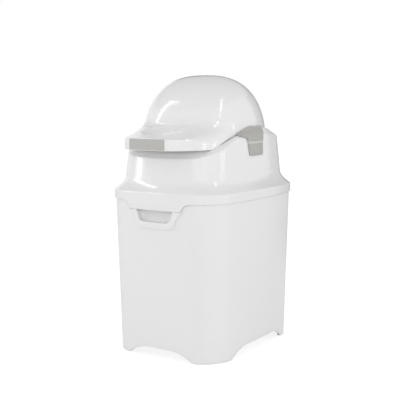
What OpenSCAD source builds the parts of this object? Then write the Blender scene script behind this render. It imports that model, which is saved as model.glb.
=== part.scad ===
// A nappy bin: a deep tub with a hinged head, and a turning drum with a weighted piston.
// Millimetres. +Z is up, the grip and the drum's visor face -Y, and the origin is the
// middle of the plan on the floor.

/* [Tub] */
// Width of the tub at the floor
floor_w = 286.6; // [278:0.2:292]
// Depth of the tub at the floor
floor_d = 367.6; // [355:0.2:375]
// Width of the tub at its rim
rim_w = 296.4; // [294:0.2:300]
// Depth of the tub at its rim
rim_d = 390.8; // [386:0.2:396]
// Height of the tub's rim
rim_h = 346; // [335:1:360]
// Radius of the plan's corners
corner_r = 52.4; // [46:0.2:60]
// Bow of the four sides, as a share of the half width
side_bow = 0.099; // [0.08:0.001:0.11]
// Thickness of the tub's wall and floor
tub_wall = 3; // [2.4:0.1:3.6]
// Height of the floor's top face
tub_floor_h = 35; // [33:1:45]
// Height of the arches between the feet
arch_h = 22.5; // [18:0.5:28]
// Length of the curve at each end of an arch
arch_run = 60; // [45:1:70]
// Width of the front and rear arches at the floor
arch_front_w = 163.4; // [150:0.2:170]
// Width of the side arches at the floor
arch_side_w = 218.4; // [200:0.2:225]
// Width of the sole inside each foot
sole_w = 9; // [6:0.5:12]
// Thickness of each foot's sole
sole_t = 4; // [3:0.5:6]

/* [Grip] */
// Width of the head's front tab at its lower edge
tab_w = 131; // [122:1:134]
// Drop of the front tab below the head's skirt
tab_drop = 16.5; // [14:0.5:18]
// Sweep of the tab's sides, from its lower edge out to the skirt
tab_flare = 21.5; // [16:0.5:24]
// Gap between the tab and the boss below it
tab_gap = 0.8; // [0.5:0.1:1.2]
// Height of the grip boss below the tab
boss_h = 37; // [35:0.5:40]
// Width of the grip boss at its foot
boss_foot_w = 75; // [70:1:80]
// Radius of the grip boss's lower corners
boss_corner_r = 12; // [8:0.5:14]
// Width of the finger pocket at the tab's lower edge
pocket_w = 92; // [86:1:96]
// Width of the finger pocket at its foot
pocket_foot_w = 74; // [70:1:78]
// Height of the finger pocket below the tab's edge
pocket_drop = 24; // [20:0.5:27]
// Radius of the finger pocket's lower corners
pocket_corner_r = 8; // [5:0.5:10]
// Height of the finger pocket behind the tab
pocket_rise = 10.5; // [6:0.5:11]
// Depth of the finger pocket
pocket_d = 22; // [18:0.5:26]

/* [Bag ring] */
// Thickness of the ring's flange on the rim
ring_flange_t = 2.5; // [2:0.1:3]
// Height of the ring's web inside the rim
ring_web_h = 12; // [10:0.5:12.5]
// Thickness of the ring's web
ring_web_t = 2.6; // [2:0.1:3.2]
// Thickness of the gasket on the ring
gasket_t = 3; // [2.5:0.1:3.5]
// Width of the gasket
gasket_w = 5; // [4:0.2:5.6]

/* [Hinge] */
// Distance of the hinge axis behind the tub's rim
hinge_out = 11.1; // [9.6:0.1:13.6]
// Height of the hinge axis below the rim
hinge_drop = 17; // [15:0.5:20]
// Radius of the hinge barrels
barrel_r = 6.5; // [5.5:0.1:7]
// Radius of the hinge pins
hinge_pin_r = 2.5; // [2:0.1:3]
// Distance of each hinge from the middle
hinge_x = 45; // [40:1:50]
// Length of the head's hinge barrel
head_barrel_l = 22; // [16:1:26]
// Length of each of the tub's hinge barrels
tub_barrel_l = 10; // [8:1:12]

/* [Head] */
// How far the head's skirt stands out from the tub
skirt_proud = 2.7; // [2.5:0.1:3.2]
// Overlap of the skirt and the tub's rim
skirt_lap = 11; // [8:0.5:12]
// Clearance between the skirt and the tub's rim
skirt_gap = 0.7; // [0.6:0.1:1]
// Height of the skirt's band
skirt_h = 20.2; // [18:0.2:24]
// Height of the flare above the band
flare_h = 32; // [28:0.5:36]
// How far the flare comes in
flare_in = 21; // [19:0.5:22]
// Inset of the shoulder's outer edge from the tub's rim, at each side
shoulder_side_in = 23.2; // [21.2:0.1:23.4]
// Inset of the shoulder's outer edge from the tub's rim, at the front and the rear
shoulder_end_in = 28.4; // [25.4:0.1:30.4]
// Radius of the head's plan corners
head_corner_r = 50; // [46:0.5:54]
// Thickness of the head's wall
head_wall = 3; // [2.4:0.1:3.2]
// Height of the shoulder's outer edge at the sides, above the rim
shoulder_side_h = 122; // [120:0.5:123]
// Height of the shoulder's outer edge at the front, above the rim
shoulder_front_h = 74; // [72:0.5:78]
// Drop of the shoulder's outer edge at the rear, below the sides
shoulder_rear_drop = 8; // [5:0.5:10]
// Rise of the shoulder from its outer edge to the opening, at the sides
shoulder_rise = 16; // [14:0.5:17]
// Rise of the shoulder from its outer edge to the opening, at the front
shoulder_front_rise = 6; // [4:0.5:6]
// Drop of the opening's edge at the rear, below its height at the sides
opening_rear_drop = 6; // [3:0.5:8]
// Depth of the lip that hangs around the opening
lip_h = 12; // [8:0.5:14]
// Height of the funnel's sleeve
funnel_h = 66; // [60:1:68]
// Thickness of the funnel's sleeve and flange
funnel_t = 2.5; // [2:0.1:3]
// Distance of the funnel's screws from the middle
funnel_screw_x = 50; // [40:1:60]
// Length of the head's bosses for the funnel's screws
funnel_boss_l = 50; // [44:1:54]
// Thickness of the drum's two wiper seals
wiper_t = 3; // [2:0.5:4]

/* [Drum] */
// Height of the drum's axis above the rim
axis_rise = 114; // [113:0.5:115]
// Inset of the drum's front from the shoulder's outer edge
drum_front_in = 30; // [29:0.5:32]
// Inset of the drum's sides from the shoulder's outer edge
drum_side_in = 8; // [7.6:0.1:9]
// Exponent of the drum's rounded side: a higher one is squarer
drum_round = 2.8; // [2.6:0.05:3.2]
// Thickness of the drum's shell
drum_wall = 3; // [2.4:0.1:3.2]
// Depth of the drum's lower edge below its axis
drum_drop = 15; // [14:0.5:16]
// Running clearance between the drum and the head's opening
drum_gap = 2; // [1.6:0.1:2.4]
// Inset of the visor's sides from the drum's
visor_side_in = 3; // [2.5:0.1:5]
// Reach of the visor in front of the axis
visor_reach = 218.5; // [214:0.5:222]
// Depth of the flat that cuts off the visor's point for the pad
visor_flat = 5.5; // [4.5:0.5:8]
// Depth of the visor's lower edge below the axis
visor_drop = 17.5; // [17:0.5:18.5]
// Height of the visor's edge band
visor_band = 24; // [22:0.5:26]
// Height above the axis at which the visor's top runs into the drum
visor_crown = 30; // [28:0.5:34]
// Running gap between the visor and the shoulder
visor_gap = 1.2; // [0.8:0.1:1.8]
// Thickness of the plate under the visor
visor_plate_t = 2.5; // [2:0.1:3]
// Width of the shallow dish on the visor
dish_w = 114; // [100:1:120]
// Depth of the dish from front to back
dish_d = 54; // [44:1:56]
// Depth of the dish below the visor's slope
dish_depth = 3; // [2:0.5:4]
// Tilt of the dish, which is the slope of the visor's top
dish_tilt = 18; // [15:0.5:20]
// Distance of the dish's middle in front of the drum
dish_forward = 26; // [24:0.5:30]
// Width of the soft pad on the visor
pad_w = 87.6; // [80:0.2:90]
// Thickness of the soft pad
pad_t = 2.2; // [1.8:0.1:2.6]
// How far the soft pad stands out from the visor
pad_proud = 0.4; // [0:0.1:0.8]

/* [Axle] */
// Radius of the drum's trunnions
trunnion_r = 6; // [5:0.1:7]
// Running clearance of the trunnions in their bushes
trunnion_clearance = 0.06; // [0.03:0.01:0.09]
// Radius of the bushes
bush_r = 9; // [8.5:0.1:10]
// Radius of the bushes' flanges
bush_flange_r = 12; // [11:0.5:13]
// Radius of the head's bosses around the bushes
axle_boss_r = 14; // [13.5:0.5:16]
// Width of each side clip's arm at its foot
clip_w = 57; // [50:1:62]
// Height of each side clip's foot below the axis
clip_drop = 35; // [30:1:40]
// Reach of each side clip's tip in front of its arm
clip_tip = 35; // [30:1:38]
// Thickness of the side clips
clip_t = 3.8; // [3:0.1:4.4]

/* [Cup and piston] */
// Outer radius of the cup
cup_r = 75; // [72:0.5:76]
// Wall of the cup
cup_wall = 2.5; // [2:0.1:3]
// Clearance between the cup's upper edge and the drum's shell
cup_clearance = 9; // [6:0.5:16]
// Radius of the cup's flange
cup_flange_r = 88; // [85:0.5:90]
// Thickness of the plate around the mouth
mouth_plate_t = 4; // [3.5:0.1:5]
// Radius of the mouth
mouth_r = 68; // [66:0.5:69]
// Clearance of the piston plate in the cup
piston_clearance = 0.9; // [0.6:0.1:1.2]
// Thickness of the piston plate
piston_t = 5; // [4.5:0.1:6]
// Radius of the piston's weight
weight_r = 48; // [40:0.5:50]
// Thickness of the piston's weight
weight_t = 8; // [6:0.5:10]
// Outer radius of the cover over the weight
cover_r = 58; // [55:0.5:60]

/* [Fasteners] */
// Shank radius of the screws
screw_r = 2; // [1.8:0.1:2.2]
// Head radius of the screws
screw_head_r = 4; // [3.6:0.1:4.2]
// Head height of the screws
screw_head_h = 2.2; // [2:0.1:2.4]
// Length of the shanks of the screws in the funnel and the cup
screw_l = 9; // [8:0.5:10]
// Length of the shanks of the piston's screws
piston_screw_l = 6; // [5:0.5:6.5]

/* [Hidden] */
fit = 0.3;      // seat gap between pieces that nearly touch
over = 5;       // how far a cutting shape runs past what it cuts
far = 650;      // longer than the bin in every direction
corner_steps = 8;
side_steps = 3;
ring_steps = 64;
white = "whitesmoke";
grey = "silver";

skirt_z = rim_h - skirt_lap;
skirt_top = skirt_z + skirt_h;
flare_top = skirt_top + flare_h;
axis_z = rim_h + axis_rise;
drum_bottom = axis_z - drum_drop;
hinge_y = rim_d / 2 + hinge_out;
hinge_z = rim_h - hinge_drop;
hinge_pin_l = head_barrel_l + 2 * tub_barrel_l + 2 * fit;
skirt_half_w = rim_w / 2 + skirt_proud;
skirt_half_d = rim_d / 2 + skirt_proud;
shoulder_z = rim_h + shoulder_side_h;
shoulder_w = rim_w - 2 * shoulder_side_in;
shoulder_d = rim_d - 2 * shoulder_end_in;
drum_half_w = shoulder_w / 2 - drum_side_in;
drum_r = shoulder_d / 2 - drum_front_in;
visor_half_w = drum_half_w - visor_side_in;
opening_half_w = drum_half_w + drum_gap;
opening_half_d = drum_r + drum_gap + 0.5;
opening_round = 3.5;
tab_z = skirt_z - tab_drop;
boss_z = tab_z - boss_h;

// ---- Outlines ----

// One quarter of the bowed rectangle, from the side's middle to just before the end's middle
function quarter(a, b, r) = concat(
    [for (i = [0 : side_steps - 1]) [a, (b - r) * i / side_steps]],
    [for (i = [0 : corner_steps - 1]) let (t = 90 * i / corner_steps)
        [a - r + r * cos(t), b - r + r * sin(t)]],
    [for (i = [0 : side_steps - 1]) [(a - r) * (1 - i / side_steps), b]]);

function bowed(p, a, b) = [p.x * (1 - side_bow * pow(p.y / b, 2)), p.y * (1 - side_bow * pow(p.x / a, 2))];

// The plan of the tub and the head: a rectangle with round corners and bowed sides
function plan(a, b, r) =
    let (q = [for (p = quarter(a, b, r)) bowed(p, a, b)], n = len(q),
         end = bowed([0, b], a, b), side = bowed([a, 0], a, b))
    concat(q, [end], [for (i = [n - 1 : -1 : 1]) [-q[i].x, q[i].y]],
           [for (p = q) [-p.x, -p.y]], [-end], [for (i = [n - 1 : -1 : 1]) [q[i].x, -q[i].y]]);

function signed_pow(v, e) = sign(v) * pow(abs(v), e);

// A superellipse with half sizes a and b
function superellipse(a, b, n, steps = ring_steps) =
    [for (i = [0 : steps - 1]) let (t = 360 * i / steps)
        [a * signed_pow(cos(t), 2 / n), b * signed_pow(sin(t), 2 / n)]];

function reversed(points) = [for (i = [len(points) - 1 : -1 : 0]) points[i]];
function at_height(points, z) = [for (p = points) [p.x, p.y, z]];
function smooth(t) = let (u = min(max(t, 0), 1)) u * u * (3 - 2 * u);

// ---- Solids from rings ----

// A closed solid through rings of equal length, with a fan over its top ring
module loft(rings) {
    n = len(rings[0]);
    last = len(rings) - 1;
    top = rings[last];
    apex = [0, 0, max([for (p = top) p.z])];
    points = concat([for (ring = rings) for (p = ring) p], [apex]);
    sides = [for (k = [0 : last - 1], i = [0 : n - 1]) let (j = (i + 1) % n)
        each [[k * n + i, (k + 1) * n + i, (k + 1) * n + j], [k * n + i, (k + 1) * n + j, k * n + j]]];
    fan = [for (i = [0 : n - 1]) [last * n + i, len(points) - 1, last * n + (i + 1) % n]];
    polyhedron(points, concat([[for (i = [0 : n - 1]) i]], sides, fan), convexity = 8);
}

// Joins flat-faced forms into one mesh, at their own size
module one_mesh() {
    resize([0, 0, 0]) children();
}

// A prism along Z
module upright(points, z0, z1) {
    translate([0, 0, z0]) linear_extrude(z1 - z0) polygon(points);
}

// A prism along X, from an outline drawn in Y and Z
module crosswise(points, x0, x1) {
    translate([x0, 0, 0]) rotate([90, 0, 90]) linear_extrude(x1 - x0) polygon(points);
}

// A prism along Y, from an outline drawn in X and Z
module endwise(points, y0, y1) {
    translate([0, y1, 0]) rotate([90, 0, 0]) linear_extrude(y1 - y0) polygon(points);
}

// A round bar along X
module bar(r, x0, x1, y, z) {
    translate([x0, y, z]) rotate([0, 90, 0]) cylinder(r = r, h = x1 - x0, $fn = 48);
}

// A round disc along Z
module disc(r, z0, z1, x = 0, y = 0) {
    translate([x, y, z0]) cylinder(r = r, h = z1 - z0, $fn = 96);
}

module both_sides() {
    children();
    mirror([1, 0, 0]) children();
}

// ---- Tub ----

function tub_plan(z, out) =
    let (t = z / rim_h, w = floor_w + t * (rim_w - floor_w), d = floor_d + t * (rim_d - floor_d))
    plan(w / 2 + out, d / 2 + out, corner_r + out);

// The tub's outer form between two heights, moved out by a distance
module tub_form(z0, z1, out) {
    loft([at_height(tub_plan(z0, out), z0), at_height(tub_plan(z1, out), z1)]);
}

// A ring on the tub's rim, between two distances from the tub's outer face
module rim_ring(z0, z1, outer, inner) {
    difference() {
        upright(tub_plan(rim_h, outer), z0, z1);
        upright(tub_plan(rim_h, inner), z0 - 1, z1 + 1);
    }
}

// The outline of an arch, w wide at the floor, which leaves each foot at a corner
function arch(w) =
    let (steps = 10, rise = [for (i = [0 : steps]) arch_h * (1 - pow(1 - i / steps, 2.2))])
    concat([[-w / 2 - 1, -1]],
        [for (i = [0 : steps]) [-w / 2 + arch_run * i / steps, rise[i]]],
        [for (i = [steps : -1 : 0]) [w / 2 - arch_run * i / steps, rise[i]]],
        [[w / 2 + 1, -1]]);

// A trapezoid with rounded lower corners, from its top edge down
function scoop(top_w, foot_w, z_top, z_foot, r) =
    let (steps = 6, slope = (top_w - foot_w) / 2 / (z_top - z_foot), edge = foot_w / 2 + slope * r,
         corner = [for (i = [0 : steps]) let (t = 90 * i / steps)
             [edge - r * (1 - cos(t)), z_foot + r * (1 - sin(t))]])
    concat([[-top_w / 2, z_top]], [for (p = corner) [-p.x, p.y]], reversed(corner), [[top_w / 2, z_top]]);

pocket_top = tab_z + pocket_rise;
pocket_foot = tab_z - pocket_drop;
function pocket_outline(out) =
    let (side = out * 1.2)
    concat(scoop(pocket_w + 2 * side, pocket_foot_w + 2 * side, tab_z, pocket_foot - out, pocket_corner_r),
           [[pocket_w / 2 + side, pocket_top + out], [-pocket_w / 2 - side, pocket_top + out]]);

lug_reach = hinge_out + 3 * tub_wall;
lug_drop = 24;  // how far the tub's brackets run down from the hinge axis
module tub_lug(x0) {
    bar(barrel_r, x0, x0 + tub_barrel_l, hinge_y, hinge_z);
    top = hinge_z + barrel_r / 2;
    crosswise([[hinge_y - lug_reach, top], [hinge_y - barrel_r / 2, top], [hinge_y, hinge_z - barrel_r],
               [hinge_y - barrel_r, hinge_z - lug_drop / 2], [hinge_y - lug_reach, hinge_z - lug_drop]],
              x0, x0 + tub_barrel_l);
}

module tub_lugs() {
    half = head_barrel_l / 2 + fit;
    both_sides() {
        tub_lug(hinge_x + half);
        tub_lug(hinge_x - half - tub_barrel_l);
    }
}

// The tub's flat-faced walls: floor, skirt with its soles, boss and finger pocket
module tub_walls() {
    pocket_end = -rim_d / 2 + pocket_d;
    difference() {
        union() {
            difference() {
                tub_form(0, rim_h, 0);
                tub_form(tub_floor_h, rim_h + 1, -tub_wall);
                difference() {
                    tub_form(-1, tub_floor_h - tub_wall, -tub_wall);
                    difference() {
                        tub_form(-1, sole_t, 0);
                        tub_form(-2, sole_t + 1, -sole_w);
                    }
                }
            }
            intersection() {
                endwise(scoop(tab_w, boss_foot_w, tab_z - tab_gap, boss_z, boss_corner_r), -far, 0);
                difference() {
                    tub_form(0, rim_h, skirt_proud);
                    tub_form(-1, rim_h + 1, -tub_wall);
                }
            }
            intersection() {
                endwise(pocket_outline(tub_wall), -far, pocket_end + tub_wall);
                tub_form(0, rim_h, 0);
            }
        }
        endwise(pocket_outline(0), -far, pocket_end);
        endwise(arch(arch_front_w), -far, far);
        crosswise(arch(arch_side_w), -far, far);
    }
}

module bin_tub() {
    color(white) difference() {
        union() {
            one_mesh() tub_walls();
            difference() {
                tub_lugs();
                tub_form(0, rim_h, -tub_wall / 2);
            }
        }
        both_sides() bar(hinge_pin_r, hinge_x - hinge_pin_l / 2, hinge_x + hinge_pin_l / 2, hinge_y, hinge_z);
    }
}

module bag_ring() {
    flange_in = -0.8;
    web_out = -tub_wall - 0.4;
    color(white) {
        rim_ring(rim_h, rim_h + ring_flange_t, flange_in, web_out - ring_web_t);
        rim_ring(rim_h - ring_web_h, rim_h + 0.01, web_out, web_out - ring_web_t);
    }
}

gasket_z = rim_h + ring_flange_t;
module rim_gasket() {
    color("gray") rim_ring(gasket_z, gasket_z + gasket_t, -tub_wall, -tub_wall - gasket_w);
}

module hinge_pin(side) {
    x = side * hinge_x;
    color("gray") bar(hinge_pin_r, x - hinge_pin_l / 2, x + hinge_pin_l / 2, hinge_y, hinge_z);
}

// ---- Head ----

// Height of the shoulder's outer edge at a depth y
function shoulder_edge(y) =
    let (front = rim_h + shoulder_front_h, start = -1.2 * shoulder_d / 2, end = -25, rear = 60)
    front + (shoulder_z - front) * smooth((y - start) / (end - start))
    - shoulder_rear_drop * smooth((y - rear) / (shoulder_d / 2 - rear));

// Height of the opening's edge at a depth y
function opening_edge(y) =
    shoulder_edge(y) + shoulder_front_rise + (shoulder_rise - shoulder_front_rise) * smooth((y + 60) / 60)
    - opening_rear_drop * smooth((y - 45) / 60);

// Plan of the head's upper wall at height z
function wall_plan(z, out) =
    let (t = (z - flare_top) / (shoulder_z - flare_top),
         a = (1 - t) * (skirt_half_w - flare_in) + t * shoulder_w / 2,
         b = (1 - t) * (skirt_half_d - flare_in) + t * shoulder_d / 2)
    plan(a + out, b + out, head_corner_r + out);

// Ring along the shoulder's outer edge
function shoulder_ring(out) =
    let (guide = wall_plan(shoulder_z, 0))
    [for (i = [0 : len(guide) - 1])
        let (z = shoulder_edge(guide[i].y), p = wall_plan(z, out)[i]) [p.x, p.y, z + out]];

// Ring just inside the opening's edge
function opening_ring(out) =
    let (outline = plan(opening_half_w - 1, opening_half_d - 1, head_corner_r))
    [for (p = outline) [p.x, p.y, opening_edge(p.y) + out]];

// Rings of the flare, which is a parabola in section
flare_steps = 5;
band_edge = 1.5;
function flare_rings(out) =
    [for (i = [0 : flare_steps]) let (t = i / flare_steps,
            in = band_edge + (flare_in - band_edge) * (1 - pow(1 - t, 2)) - out,
            corner = corner_r + skirt_proud + (head_corner_r - corner_r - skirt_proud) * t + out)
        at_height(plan(skirt_half_w - in, skirt_half_d - in, corner), skirt_top + flare_h * t + out / 2)];

function skirt_plan(out) = plan(skirt_half_w + out, skirt_half_d + out, corner_r + skirt_proud + out);

// The head's outer form, moved out by a distance
module head_form(out) {
    loft(concat([at_height(skirt_plan(out), tab_z - 1), at_height(skirt_plan(out), skirt_top - band_edge)],
                flare_rings(out), [shoulder_ring(out), opening_ring(out)]));
}

// The hollow of the head, which is also the clearance around the tub's rim
module head_hollow() {
    rim_clear = tub_plan(rim_h, skirt_gap);
    ledge_z = skirt_top - band_edge - head_wall;
    loft(concat([at_height(rim_clear, tab_z - 2), at_height(rim_clear, ledge_z)],
                flare_rings(-head_wall), [shoulder_ring(-head_wall), opening_ring(-head_wall)]));
}

function opening_outline(out) = superellipse(opening_half_w + out, opening_half_d + out, opening_round);

// Side view of the region above the opening's edge, moved down by a depth
function above_edge(depth) =
    let (steps = 16, end = shoulder_d / 2)
    concat([[-end, far]],
        [for (i = [0 : steps]) let (y = end * (2 * i / steps - 1)) [y, opening_edge(y) - depth]],
        [[end, far]]);

module opening_lip() {
    intersection() {
        upright(opening_outline(lip_t), rim_h, far);
        crosswise(above_edge(lip_h), -far, far);
        head_form(-0.5);
    }
}

// Everything below the skirt's edge, apart from the front tab
module below_skirt() {
    half = tab_w / 2;
    steps = 6;
    side = [for (i = [0 : steps]) let (t = 90 * i / steps)
        [half + tab_flare * (1 - cos(t)), tab_z + tab_drop * sin(t)]];
    low = tab_z - over;
    endwise(concat([[-far, low], [-far, skirt_z]], [for (p = reversed(side)) [-p.x, p.y]],
                   side, [[far, skirt_z], [far, low]]), -far, 0);
    endwise([[-far, low], [far, low], [far, skirt_z], [-far, skirt_z]], -1, far);
}

bracket_h = 18;  // height of the head's brackets above the hinge axis
module head_barrel() {
    x0 = hinge_x - head_barrel_l / 2;
    bar(barrel_r, x0, x0 + head_barrel_l, hinge_y, hinge_z);
    inside = rim_d / 2 - tub_wall;
    crosswise([[hinge_y - barrel_r + 1, hinge_z + 2], [hinge_y + barrel_r - 0.5, hinge_z + 2],
               [hinge_y, hinge_z + bracket_h], [inside, hinge_z + bracket_h + over], [inside, skirt_z + 1]],
              x0, x0 + head_barrel_l);
}

funnel_z = gasket_z + gasket_t + fit;
funnel_top = funnel_z + funnel_h;
funnel_screw_y = shoulder_d / 2 - 2;
funnel_boss_r = 6.5;
lip_t = 2.5;
bush_end = shoulder_w / 2 - 0.6;

// Places its children at the funnel's four screws
module at_funnel_screws() {
    for (x = [-funnel_screw_x, funnel_screw_x], y = [-funnel_screw_y, funnel_screw_y])
        translate([x, y, 0]) children();
}

// The head's flat-faced walls: skirt with its tab, flare, shoulder and lip
module head_walls() {
    difference() {
        union() {
            difference() {
                head_form(0);
                head_hollow();
            }
            opening_lip();
        }
        upright(opening_outline(0), rim_h, far);
        below_skirt();
    }
}

module head_shell() {
    boss_foot = funnel_z + funnel_t;
    color(white) difference() {
        union() {
            one_mesh() head_walls();
            difference() {
                both_sides() bar(axle_boss_r, opening_half_w - 1, bush_end - 2.4, 0, axis_z);
                upright(opening_outline(0), rim_h, far);
            }
            difference() {
                both_sides() head_barrel();
                upright(skirt_plan(-1), 0, far);
            }
            at_funnel_screws() disc(funnel_boss_r, boss_foot, boss_foot + funnel_boss_l);
        }
        both_sides() bar(bush_r, 0, far, 0, axis_z);
        both_sides() bar(bush_flange_r + fit, 0, opening_half_w, 0, axis_z);
        both_sides() bar(hinge_pin_r + trunnion_clearance, 0, far, hinge_y, hinge_z);
        at_funnel_screws() disc(screw_r, 0, funnel_z + screw_l);
    }
}

module head_funnel() {
    color(white) difference() {
        union() {
            upright(opening_outline(funnel_t), funnel_z, funnel_top);
            upright(tub_plan(rim_h, -tub_wall - 0.8), funnel_z, funnel_z + funnel_t);
        }
        upright(opening_outline(0), funnel_z - 1, funnel_top + 1);
        at_funnel_screws() disc(screw_r + 0.1, 0, far);
    }
}

// One screw with its head below z and its shank above
module screw(z, length) {
    disc(screw_head_r, z - screw_head_h, z);
    disc(screw_r, z - 0.01, z + length);
}

module funnel_screws() {
    color("silver") at_funnel_screws() screw(funnel_z, screw_l);
}

// A rubber strip on the funnel's edge that wipes the drum
module drum_seal(side) {
    half_l = opening_half_w * 0.7;
    y0 = side > 0 ? drum_r * 0.8 : -far;
    y1 = side > 0 ? far : -drum_r * 0.8;
    color("gray") one_mesh() difference() {
        intersection() {
            upright(opening_outline(funnel_t), funnel_top, funnel_top + wiper_t);
            upright([[-half_l, y0], [half_l, y0], [half_l, y1], [-half_l, y1]], 0, far);
        }
        drum_form(fit);
    }
}

module bush(side) {
    flange_t = 1.4;
    color("gray") mirror([side < 0 ? 1 : 0, 0, 0]) difference() {
        union() {
            bar(bush_r, opening_half_w - flange_t, bush_end, 0, axis_z);
            bar(bush_flange_r, opening_half_w - flange_t, opening_half_w, 0, axis_z);
        }
        bar(trunnion_r + trunnion_clearance, 0, far, 0, axis_z);
    }
}

// Side view of a clip: an arm that widens into a saddle, with a tip along the shoulder
clip_foot = axis_z - clip_drop;
clip_rear = clip_w / 2 + 2.5;
clip_front = clip_rear - clip_w;
clip_corner = 4;  // cut corner of the arm's foot
clip_crest = shoulder_z + shoulder_rise + clip_t + over;
clip_outline = [
    [clip_front, clip_foot + clip_corner], [clip_front + clip_corner, clip_foot],
    [clip_rear - clip_corner, clip_foot], [clip_rear, clip_foot + clip_corner],
    [clip_rear + 2, clip_foot + 27], [clip_rear + 6, axis_z + 10], [clip_rear + 14, clip_crest],
    [clip_front - clip_tip + 21, clip_crest], [clip_front - clip_tip + 1, axis_z + 14],
    [clip_front - clip_tip, axis_z + 9], [clip_front - 13, axis_z + 4],
    [clip_front - clip_corner, axis_z - 1], [clip_front - 1, clip_foot + 22]];

module clip(side) {
    color(grey) mirror([side < 0 ? 1 : 0, 0, 0]) one_mesh() difference() {
        intersection() {
            crosswise(clip_outline, opening_half_w - 1, far);
            head_form(clip_t);
        }
        head_form(fit);
        upright(opening_outline(0), rim_h, far);
    }
}

// ---- Drum ----

// The drum's outer form, a rounded barrel around its axis, moved out by a distance
module drum_form(out) {
    steps = 12;
    turns = [for (i = [-steps + 0.4, each [-steps + 1 : steps - 1], steps - 0.4]) 90 * i / steps];
    translate([0, 0, axis_z]) rotate([0, 90, 0]) loft([for (t = turns)
        let (r = (drum_r + out) * pow(cos(t), 2 / drum_round))
        at_height([for (k = [0 : ring_steps - 1]) let (u = 360 * k / ring_steps) [r * cos(u), r * sin(u)]],
                  (drum_half_w + out) * signed_pow(sin(t), 2 / drum_round))]);
}

visor_low = axis_z - visor_drop;
visor_top = visor_low + visor_band;
visor_crown_z = axis_z + visor_crown;
visor_round = 2.7;
visor_point = visor_reach + visor_flat;
visor_edge_r = 2;  // softening of the visor's upper edge

// Outline of the visor: a superellipse with its front cut flat, moved out by a distance
function visor_outline(reach, out) =
    [for (p = superellipse(visor_half_w + out, reach, visor_round))
        [p.x, p.y > 0 ? 0 : max(p.y - out, -visor_reach - out)]];

// The visor's outer form, moved out by a distance
module visor_form(out) {
    steps = 5;
    band = visor_outline(visor_point, out);
    loft(concat(
        [at_height(band, rim_h), at_height(band, visor_top - visor_edge_r + out)],
        [for (i = [0 : steps])
            let (t = i / steps, back = (visor_point - drum_r) * pow(t, 0.8) + visor_edge_r * (1 - t))
            at_height(visor_outline(visor_point - back, out),
                      visor_top + (visor_crown_z - visor_top) * t + out)]));
}

// Height of the visor's lower edge at a depth y
function visor_edge(y) = max(visor_low, opening_edge(y) + visor_gap);

// Side view of the visor's lower edge, moved up by a distance, from the front back to the axis
function visor_edge_line(up) =
    let (steps = 20)
    [for (i = [0 : steps]) let (y = (-visor_reach - over) * (1 - i / steps)) [y, visor_edge(y) + up]];

// The shallow oval dish on the visor's slope, made bigger by a distance
module dish(out) {
    rings = 4;
    z = visor_top + (visor_crown_z - visor_top) * 0.62;
    translate([0, -drum_r - dish_forward, z]) rotate([dish_tilt, 0, 0]) loft([for (i = [1 : rings])
        let (t = i / rings, a = dish_w / 2 * t + out, b = dish_d / 2 * t + out)
        at_height(superellipse(a, b, 2, 40), dish_depth * (pow(t, 3) - 1) - out + (i == rings ? over : 0))]);
}

pad_top = visor_top - 0.5;
pad_low = visor_low + 1;
pad_front = -visor_reach - pad_proud;
// A block in the pad's place, moved out by a distance and run forward to y0
module pad_block(out, y0) {
    half = pad_w / 2 + out;
    y1 = pad_front + pad_t;
    upright([[-half, y0], [half, y0], [half, y1], [-half, y1]], pad_low - out, pad_top + out);
}

module above_drum_edge(top) {
    upright([[-far, -far], [far, -far], [far, far], [-far, far]], drum_bottom, top);
}

// The drum's flat-faced walls: the barrel above its lower edge, and the visor around its front
module drum_walls() {
    difference() {
        union() {
            intersection() {
                drum_form(0);
                above_drum_edge(far);
            }
            intersection() {
                difference() {
                    visor_form(0);
                    difference() {
                        visor_form(-drum_wall);
                        dish(drum_wall);
                    }
                }
                crosswise(concat(visor_edge_line(0), [[0, far], [-visor_reach - over, far]]), -far, far);
            }
        }
        drum_form(-drum_wall);
        difference() {
            dish(0);
            drum_form(0);
        }
        pad_block(fit / 2, -far);
    }
}

module drum_shell() {
    color(white) difference() {
        one_mesh() drum_walls();
        both_sides() bar(trunnion_r, 0, far, 0, axis_z);
    }
}

plate_recess = 1;  // height of the plate above the visor's lower edge
module visor_underside() {
    low = visor_edge_line(plate_recess);
    high = visor_edge_line(plate_recess + visor_plate_t);
    color(white) one_mesh() difference() {
        intersection() {
            visor_form(-drum_wall - fit);
            crosswise(concat(low, reversed(high)), -far, far);
        }
        drum_form(fit);
    }
}

module handle_pad() {
    color(grey) pad_block(0, pad_front);
}

mouth_plate_top = drum_bottom + mouth_plate_t;
cup_top = axis_z + sqrt(pow(drum_r - drum_wall, 2) - pow(cup_r, 2)) - cup_clearance;
cup_inner_r = cup_r - cup_wall;
cup_screw_r = (cup_r + cup_flange_r) / 2;
cup_screws_n = 6;
screw_seat = drum_bottom + screw_head_h + 0.1;
flange_t = 3;

module at_cup_screws() {
    for (i = [0 : cup_screws_n - 1])
        rotate(360 * (i + 0.5) / cup_screws_n) translate([cup_screw_r, 0, 0]) children();
}

module mouth_plate() {
    out = -drum_wall - fit;
    color(white) difference() {
        one_mesh() intersection() {
            drum_form(out);
            above_drum_edge(mouth_plate_top);
        }
        disc(mouth_r, 0, far);
        at_cup_screws() disc(screw_r + 0.1, 0, far);
        at_cup_screws() disc(screw_head_r + 0.2, 0, screw_seat);
    }
}

seal_t = 1.5;
module mouth_seal() {
    color("gray") difference() {
        disc(cup_inner_r - fit, mouth_plate_top, mouth_plate_top + seal_t);
        disc(mouth_r, 0, far);
    }
}

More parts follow.
